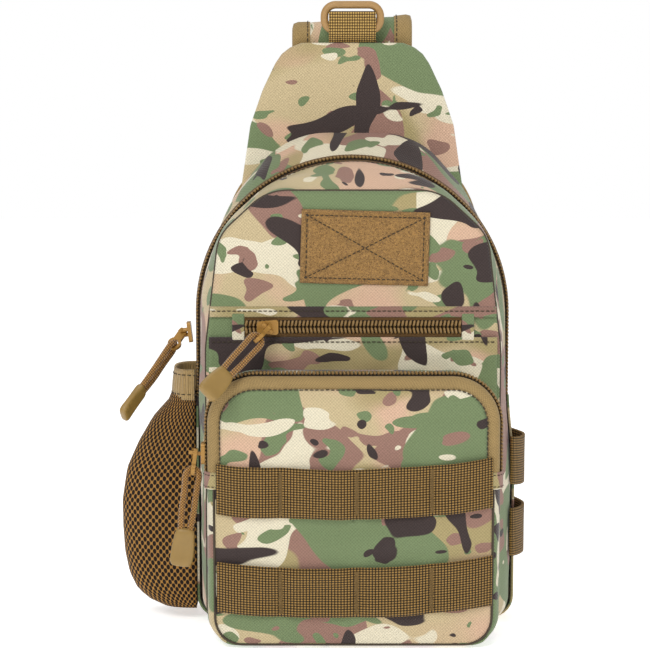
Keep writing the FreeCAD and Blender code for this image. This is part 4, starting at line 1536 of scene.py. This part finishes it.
@dataclass
class Back:
    """Padded back: camouflage rim, air mesh pad and its quilting lines."""

    body: Compartment
    seam_y: float = 43.2

    def build(self) -> None:
        """Make the back."""
        rear = self.body.rear_outline()
        flat = polar(rear * np.array([0.995, 0.995]), (0.0, 120.0), 30)
        edge = np.linspace(0.0, 1.0, 30)[:, None]
        depth = self.seam_y + 4.0 * step(edge, 0.0, 0.12)
        depth = depth + ripples(flat[..., 0], flat[..., 1], 81, 60.0) * 0.3
        grid = points_at(flat[..., 0], np.broadcast_to(depth, flat.shape[:2]), flat[..., 1])
        Sheet("back_cloth", grid, ring=True, cut=(3.7, 0.9), upright=True, thick=CLOTH, away=REAR).dress(
            Finish.CAMOUFLAGE, ("back_panel",))
        outline = mirrored([(62.0, 14.0), (62.0, 180.0), (46.0, 232.0)], [16.0, 50.0, 30.0], 200)
        flat = polar(outline, (0.0, 120.0), 60)
        x, z = flat[..., 0], flat[..., 1]
        share = np.linspace(0.0, 1.0, 60)[:, None] * np.ones_like(x)
        quilt = np.exp(-((np.mod(z + 0.35 * np.abs(x), 46.0) - 23.0) / 2.6) ** 2)
        depth = 47.2 + 3.6 * step(share, 0.0, 0.16) - quilt * 2.0 * step(share, 0.05, 0.2)
        grid = points_at(x, depth, z)
        pad = Sheet("back_air_mesh_pad", grid, ring=True, cut=(0.1, 0.1), upright=True, thick=3.0, away=REAR)
        piece = pad.dress(Finish.AIR_MESH, ("back_air_mesh", "back_foam"))
        border = points_at(outline[:, 0], 47.6, outline[:, 1])
        tube("back_pad_piping", border, 1.5, closed=True).dress(Finish.KHAKI)


@dataclass
class Strap:
    """Shoulder strap: padded band bound along both edges, and its two runs of webbing."""

    half: float = 31.0
    bound: float = 8.5
    lean: float = 0.070

    def centre(self, count: int = 150) -> np.ndarray:
        """Middle line of the pad, up behind the neck, over the fold and down the back.

        Args:
            count: Points wanted.

        Returns:
            Depth and height of each point.
        """
        rise = np.stack([np.full(10, 42.6), np.linspace(290.0, 309.0, 10)], 1)
        turn = np.linspace(math.pi, 0.0, 24)
        fold = np.stack([50.6 + 8.0 * np.cos(turn), 310.0 + 7.0 * np.sin(turn)], 1)
        fall = np.stack([np.linspace(58.6, 58.4, 30), np.linspace(308.0, 152.0, 30)], 1)
        return even_path(np.vstack([rise, fold, fall]), count)

    def section(self, across: np.ndarray, line: np.ndarray, lift: float) -> np.ndarray:
        """Points at a share of the width along the middle line, lifted outward from it.

        Args:
            across: Places across the strap.
            line: The middle line.
            lift: How far off it, outward.

        Returns:
            One row of points for each place across.
        """
        path = points_at(np.zeros(len(line)), line[:, 0], line[:, 1])
        tangent = np.gradient(path, axis=0)
        tangent /= np.linalg.norm(tangent, axis=1, keepdims=True)
        outward = points_at(np.zeros(len(line)), -tangent[:, 2], tangent[:, 1])
        high = step(line[:, 1], 296.0, 318.0) * step(60.0 - line[:, 0], 0.0, 8.0)
        grid = path[None] + np.zeros((len(across), 1, 3))
        grid[..., 0] += across[:, None]
        grid = grid + outward[None] * lift
        grid[..., 2] += across[:, None] * self.lean * high[None, :]
        return grid

    def build(self) -> None:
        """Make the strap."""
        line = self.centre()
        angle = np.linspace(0.0, 2.0 * math.pi, 40, endpoint=False)
        across = boxed(np.cos(angle), 0.35) * self.half
        lift = boxed(np.sin(angle), 0.8) * 2.6
        skin = np.stack([self.section(np.array([a]), line, b)[0] for a, b in zip(across, lift)], axis=1)
        piece = Sheet("strap_pad_cloth", skin, ring=True, turn_cut=True, cut=(1.9, 6.2)).dress(
            Finish.CAMOUFLAGE, ("strap_pad",), slot="strap_cloth")
        for label, sign in (("left", -1.0), ("right", 1.0)):
            steps = [(self.half - self.bound, 2.9), (self.half - 2.0, 3.2), (self.half + 0.4, 2.4),
                     (self.half + 1.1, 0.0), (self.half + 0.4, -2.4), (self.half - 2.0, -3.2),
                     (self.half - self.bound, -2.9)]
            runs = [self.section(np.array([sign * reach]), line, rise)[0] for reach, rise in steps]
            grid = np.stack(runs, axis=1)
            Sheet(f"strap_bound_{label}", grid, turn_cut=True, inside=(sign * 20.0, 50.0, 230.0)).dress(
                Finish.KHAKI, (f"strap_binding_{label}",))
            for side, rise in (("outer", 3.25), ("inner", -3.25)):
                row = self.section(np.array([sign * (self.half - self.bound + 1.3)]), line[2:-2], rise)[0]
                path = points_at(np.zeros(len(line)), line[:, 0], line[:, 1])[2:-2]
                tangent = np.gradient(path, axis=0)
                hint = points_at(0.0, -tangent[:, 2], tangent[:, 1]) * math.copysign(1.0, rise)
                stitches(f"strap_stitches_{label}_{side}", row, hint + 1e-6, Finish.THREAD)
        end = line[-1]
        x = np.linspace(-self.half - 0.8, self.half + 0.8, 30)
        bar = points_at(x, end[0], end[1])
        made = tube("strap_end_binding", bar, 3.9, flatten=0.95, hint=REAR)
        place_piece(made.build(), Finish.KHAKI)
        self.webbings()

    def webbings(self) -> None:
        """Webbing down from the pad with its box stitches, and the one up from the anchor tab."""
        x, z = np.meshgrid(np.linspace(-12.6, 12.6, 16), np.linspace(176.0, 73.0, 60))
        depth = 58.8 + 3.2 * step(z, 140.0, 158.0) + ripples(x, z, 91, 50.0) * 0.15
        Sheet("strap_webbing_run", points_at(x, depth, z), thick=STRAPPING, away=REAR).dress(
            Finish.WEBBING, ("strap_webbing",))
        corners = np.array([(-9.5, 156.0), (9.5, 156.0), (9.5, 172.0), (-9.5, 172.0),
                            (-9.5, 156.0), (9.5, 172.0)])
        flat = even_path(corners, 90)
        row = points_at(flat[:, 0], 62.35, flat[:, 1])
        stitches("strap_box_stitches", row, np.array(REAR))
        x, z = np.meshgrid(np.linspace(-12.6, 12.6, 16), np.linspace(46.0, 21.0, 24))
        run = Sheet("anchor_webbing_run", points_at(x, 58.8, z), thick=STRAPPING,
                    away=REAR).dress(Finish.WEBBING, ("anchor_webbing",))
        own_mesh(run)
        x, z = np.meshgrid(np.linspace(-14.5, 14.5, 16), np.linspace(24.0, 6.0, 16))
        depth = 49.0 + 11.0 * step(z, 6.0, 16.0)
        Sheet("anchor_tab_cloth", points_at(x, depth, z), thick=3.0, away=REAR,
                      round_off=1).dress(Finish.KHAKI, ("anchor_tab",))


@dataclass
class HangingRing:
    """Moulded hanging ring and the ribbed webbing tab that holds it."""

    half: float = 14.8
    low: float = 313.2
    high: float = 326.8
    depth: float = 32.7
    bar: float = 2.05

    def build(self) -> None:
        """Make the ring, which swings, and its tab."""
        outline = mirrored([(self.half, self.low), (self.half, self.high)], [6.0, 6.0], 90)
        path = points_at(outline[:, 0], self.depth, outline[:, 1])
        tube("hanging_ring_moulding", path, self.bar, closed=True, sides=16).dress(
            Finish.MOULDING, ("hanging_ring",), body="hanging_ring")
        x, z = np.meshgrid(np.linspace(-12.4, 12.4, 20), np.linspace(298.0, 323.4, 40))
        depth = 34.4 - 4.9 * step(z, 305.5, 312.0)
        depth = depth + ripples(x, z, 14, 20.0) * 0.12
        piece = Sheet("ring_tab_webbing", points_at(x, depth, z), thick=STRAPPING, away=FRONT).build()
        piece.data.materials.append(Finish.RING_WEBBING.material())
        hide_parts("ring_tab")
        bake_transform(piece)


@dataclass
class Sides:
    """Side webbing loops on the right, and the mesh bottle pocket on the left."""

    wall_x: float = -83.4
    middle_y: float = 26.5
    round_side: float = 0.78

    def loops(self) -> None:
        """Two bowed webbing loops, tacked at both ends."""
        for label, middle, node, draw_in in (("upper", 88.0, "side_webbing_upper", 3.7),
                                             ("lower", 49.5, "side_webbing_lower", 1.0)):
            share, drop = np.meshgrid(np.linspace(0.0, 1.0, 50), np.linspace(-12.8, 12.8, 14))
            y = -2.0 + 44.0 * share
            bow = np.sin(math.pi * share) ** 0.8
            x = 84.2 + 8.4 * bow + ripples(share * 40.0, drop, 17, 30.0) * 0.3 * bow
            x -= draw_in * step(share, 0.55, 1.0)
            z = middle + drop - 2.0 * bow * (1 if label == "upper" else 0.6)
            Sheet(f"side_loop_{label}", points_at(x, y, z), cut=(3.0, 1.3), thick=STRAPPING,
                          away=RIGHT).dress(Finish.WEBBING, (node,))
            for number, (side, place) in enumerate(((85.0, 0.0), (86.0 - draw_in, 40.2))):
                drop = np.linspace(-10.5, 10.5, 26)
                row = points_at(side, place, middle + drop)
                unit, faces = capsule(0.42, 2.1, 0.6, 0.1)
                piece = repeated(f"side_tack_{label}_{number}", row, np.array(RIGHT), unit, faces, 0.55, 0.1)
                place_piece(piece, Finish.TAN_THREAD)

    def mesh(self) -> None:
        """Mesh pocket: a slack bag of mesh that bellies outward, under an elastic band."""
        rings = 40
        high = np.linspace(5.6, 123.0, rings)
        reach = np.interp(high, [5.6, 9.0, 14.0, 22.0, 34.0, 48.0, 62.0, 80.0, 95.0, 107.0, 117.0, 123.0],
                          [20.0, 28.0, 33.5, 37.5, 40.0, 41.0, 40.8, 37.5, 31.0, 24.0, 15.0, 12.5])
        angle = np.linspace(0.0, math.pi, 60)
        grid = np.zeros((rings, 60, 3))
        for row in range(rings):
            flatten = boxed(np.cos(angle), 0.72)
            y = self.middle_y - 17.3 * flatten
            x = self.wall_x - reach[row] * np.sin(angle) ** self.round_side
            grid[row] = points_at(x, y, high[row])
        wave = ripples(grid[..., 1] * 1.5 + grid[..., 0], grid[..., 2], 19, 34.0) * 1.1
        share = np.sin(angle)[None, :] * np.sin(np.linspace(0.1, math.pi - 0.2, rings))[:, None]
        grid[..., 0] -= wave * share
        grid[..., 1] += ripples(grid[..., 0], grid[..., 2], 29, 30.0) * 0.8 * share
        Sheet("bottle_mesh", grid, thick=0.8, inside=(-86.0, self.middle_y, 60.0)).dress(
            Finish.MESH, ("mesh_pocket",))
        y, x = np.meshgrid(np.linspace(9.4, 43.6, 30), np.linspace(0.0, 1.0, 12))
        edge = np.sqrt(np.clip(1.0 - ((y - self.middle_y) / 17.4) ** 2, 0.0, 1.0))
        floor = points_at(self.wall_x - x * 17.0 * edge ** self.round_side, y, 5.8)
        Sheet("bottle_mesh_base", floor, thick=0.8, away=DOWN).dress(Finish.MESH)
        height = np.linspace(118.5, 134.8, 12)
        grid = np.zeros((12, 60, 3))
        for row, z in enumerate(height):
            flatten = boxed(np.cos(angle), 0.72)
            gather = 0.35 * np.sin(angle * 34.0) * math.sin(math.pi * (z - 118.5) / 16.3)
            reach_here = 13.6 - 1.6 * (z - 118.5) / 16.3
            side = self.wall_x - (reach_here + gather) * np.sin(angle) ** self.round_side
            grid[row] = points_at(side, self.middle_y - (17.6 + gather) * flatten, z)
        Sheet("bottle_mouth_band", grid, thick=1.4, inside=(-84.0, self.middle_y, 127.0)).dress(
            Finish.ELASTIC, ("mesh_pocket_band",))
        hint = points_at(-np.sin(angle), -np.cos(angle), np.zeros(60)) + 1e-4
        for number, row in enumerate((2, 9)):
            stitches(f"mouth_stitches_{number}", grid[row] + hint * 0.1, hint, Finish.THREAD, 3.0)

    def build(self) -> None:
        """Make both sides."""
        self.loops()
        self.mesh()


@dataclass
class Pull:
    """A cord zip pull: the braided cord, looped through the link, and the moulded tag on its ends."""

    name: str
    hinge: tuple[float, float, float]
    along: tuple[float, float, float]
    facing: tuple[float, float, float]
    cord_length: float = 0.0766
    cord_thick: float = 0.0032
    eye_reach: float = 8.0

    def axes(self) -> tuple[np.ndarray, np.ndarray, np.ndarray, np.ndarray]:
        """The loop's eye, and its along, across and outward directions.

        Returns:
            The eye, then the three unit directions.
        """
        along = np.array(self.along) / np.linalg.norm(self.along)
        across = np.cross(along, np.array(self.facing))
        across /= np.linalg.norm(across)
        outward = np.cross(along, across)
        return np.array(self.hinge) + along * self.eye_reach, along, across, outward

    def build(self) -> None:
        """Make the cord and the tag."""
        eye, along, across, outward = self.axes()
        body = f"{self.name}_pull"
        local = np.array([(36.0, -2.0, 0.0), (24.0, -3.2, 0.6), (12.0, -3.0, 0.0), (0.0, -3.8, 0.0),
                          (0.0, 3.8, 0.0), (12.0, 3.0, 0.0), (24.0, 3.2, 0.6), (36.0, 2.0, 0.0)])
        points = eye + local @ np.stack([along, across, outward])
        curve = bpy.data.curves.new(f"{self.name}_braid", "CURVE")
        curve.dimensions = "3D"
        curve.bevel_depth = self.cord_thick / 2.0
        curve.bevel_resolution = 4
        curve.use_fill_caps = True
        line = curve.splines.new("NURBS")
        line.points.add(len(points) - 1)
        for place, point in zip(line.points, points * MM):
            place.co = (*point, 1.0)
        line.order_u = 3
        line.use_endpoint_u = True
        line.resolution_u = 8
        piece = bpy.data.objects.new(f"{self.name}_braid", curve)
        bpy.context.scene.collection.objects.link(piece)
        place_piece(piece, Finish.CORD, (f"{body}_cord",), body=body)
        tag = self.tag(eye, along, across, outward)
        place_piece(tag, Finish.TAG, (f"{body}_tag",), body=body)
        list(points[0] * MM)

    def tag(self, eye: np.ndarray, along: np.ndarray, across: np.ndarray,
            outward: np.ndarray) -> bpy.types.Object:
        """Rounded moulded tag with a rolled rim and a shallow panel.

        Args:
            eye: The loop's eye.
            along: Direction down the cord.
            across: Direction over the tag's width.
            outward: Direction through its thickness.

        Returns:
            The tag.
        """
        share = np.array([0.0, 0.01, 0.05, 0.12, 0.2, 0.45, 0.7, 0.85, 0.95, 0.99, 1.0])
        length = 31.0 + share * 20.0
        wide = np.array([0.2, 3.2, 4.4, 4.9, 5.2, 5.8, 6.0, 5.9, 5.3, 4.3, 0.2])
        deep = np.array([0.1, 1.5, 2.1, 2.4, 2.3, 1.9, 1.9, 2.3, 2.2, 1.5, 0.1])
        angle = np.linspace(0.0, 2.0 * math.pi, 36, endpoint=False)
        cos = boxed(np.cos(angle), 0.6)
        sin = boxed(np.sin(angle), 0.6)
        grid = (eye + length[:, None, None] * along + (wide[:, None] * cos)[..., None] * across
                + (deep[:, None] * sin)[..., None] * outward)
        return Sheet(f"{self.name}_tag_moulding", grid, ring=True, round_off=1).build()


def dress_hardware() -> None:
    """Give every CAD node that stays in sight its finish, and a rounded edge."""
    zips = ("main", "slot", "pocket")
    groups = ((Finish.ENAMEL, [f"{name}_slider" for name in zips] + [f"{name}_pull_link" for name in zips]),
              (Finish.MOULDING, ("strap_adjuster", "buckle_socket", "buckle_plug")))
    for finish, names in groups:
        for piece in bpy.data.objects:
            if piece.type == "MESH" and piece.name in names:
                piece.data.materials.clear()
                piece.data.materials.append(finish.material())
                edge = piece.modifiers.new("edge", "BEVEL")
                edge.width = 0.25 * MM
                edge.segments = 2
                edge.limit_method = "ANGLE"


def light(name: str, place: tuple[float, float, float], aim: tuple[float, float, float], size: float,
          power: float) -> None:
    """Add a square area light that faces a point.

    Args:
        name: The light's name.
        place: Its position in metres.
        aim: The point it faces.
        size: Its side.
        power: Its power.
    """
    lamp = bpy.data.lights.new(name, "AREA")
    lamp.size = size
    lamp.energy = power
    made = bpy.data.objects.new(name, lamp)
    made.location = place
    made.rotation_euler = (Vector(aim) - Vector(place)).to_track_quat("-Z", "Y").to_euler()
    bpy.context.scene.collection.objects.link(made)


@dataclass
class Studio:
    """Pale floor, white surroundings, soft lights and the camera."""

    side: float = 3000.0
    floor_z: float = -1.0
    glow: float = 0.55
    lens: float = 116.3
    sensor: float = 36.0
    tilt: float = 7.0
    distance: float = 1.05
    aim: tuple[float, float, float] = (-0.0145, -0.05, 0.166)

    def floor(self) -> None:
        """Lay the floor, which glows faintly so that it stays pale."""
        line = np.linspace(-self.side, self.side, 20)
        x, y = np.meshgrid(line, line)
        floor = Sheet("studio_floor", points_at(x, y, self.floor_z), away=(0.0, 0.0, 1.0)).build()
        white = Finish.FLOOR.material()
        shader = next(node for node in white.node_tree.nodes if node.type == "BSDF_PRINCIPLED")
        shader.inputs["Emission Color"].default_value = (1.0, 1.0, 1.0, 1.0)
        shader.inputs["Emission Strength"].default_value = self.glow
        floor.data.materials.append(white)

    def surroundings(self) -> None:
        """White world: soft as a light, full white where it is seen."""
        world = bpy.data.worlds.new("studio_white")
        bpy.context.scene.world = world
        world.use_nodes = True
        tree = world.node_tree
        seen = tree.nodes.new("ShaderNodeLightPath")
        strength = tree.nodes.new("ShaderNodeMapRange")
        strength.inputs[3].default_value = self.glow
        strength.inputs[4].default_value = 1.0
        tree.links.new(seen.outputs["Is Camera Ray"], strength.inputs[0])
        tree.links.new(strength.outputs[0], tree.nodes["Background"].inputs[1])
        tree.nodes["Background"].inputs[0].default_value = (1.0, 1.0, 1.0, 1.0)

    def camera(self) -> None:
        """Camera in front, tilted a little down."""
        tilt = math.radians(self.tilt)
        camera = bpy.data.cameras.new("camera")
        camera.lens = self.lens
        camera.sensor_width = self.sensor
        made = bpy.data.objects.new("camera", camera)
        x, y, z = self.aim
        made.location = (x, y - self.distance * math.cos(tilt), z + self.distance * math.sin(tilt))
        made.rotation_euler = (math.pi / 2.0 - tilt, 0.0, 0.0)
        bpy.context.scene.collection.objects.link(made)
        bpy.context.scene.camera = made

    def build(self) -> None:
        """Set the whole studio up."""
        self.floor()
        bpy.context.scene.view_settings.view_transform = "Standard"
        self.surroundings()
        aim = (0.0, 0.0, 0.16)
        light("key", (-0.45, -1.1, 1.05), aim, 0.6, 9.5)
        light("fill", (1.1, -0.9, 0.6), aim, 1.0, 2.6)
        light("top", (0.1, 0.3, 1.5), aim, 0.9, 5.0)
        self.camera()


def main() -> None:
    """Build every part of the bag's look."""
    logging.basicConfig(level=logging.INFO, format="%(message)s")
    body = Compartment()
    body.build()
    MainZip().build()
    SlotZip(body).build()
    Pocket().build()
    Neck().build()
    Back(body).build()
    Strap().build()
    HangingRing().build()
    Sides().build()
    turn = math.radians(-7.0)
    main_facing = (-math.cos(turn), 0.0, math.sin(turn))
    for pull in (Pull("main", (-90.222, 15.0, 153.922), (-27.0, -30.0, -36.7), main_facing),
                 Pull("slot", (-44.0, -24.4, 161.0), (-28.8, -42.0, -27.0), (0.0, -1.0, 0.0)),
                 Pull("pocket", (-80.5, -39.0, 99.0), (-7.0, -2.0, -52.0), (0.0, -1.0, 0.0))):
        pull.build()
    dress_hardware()
    Studio().build()


if __name__ == "__main__":
    main()
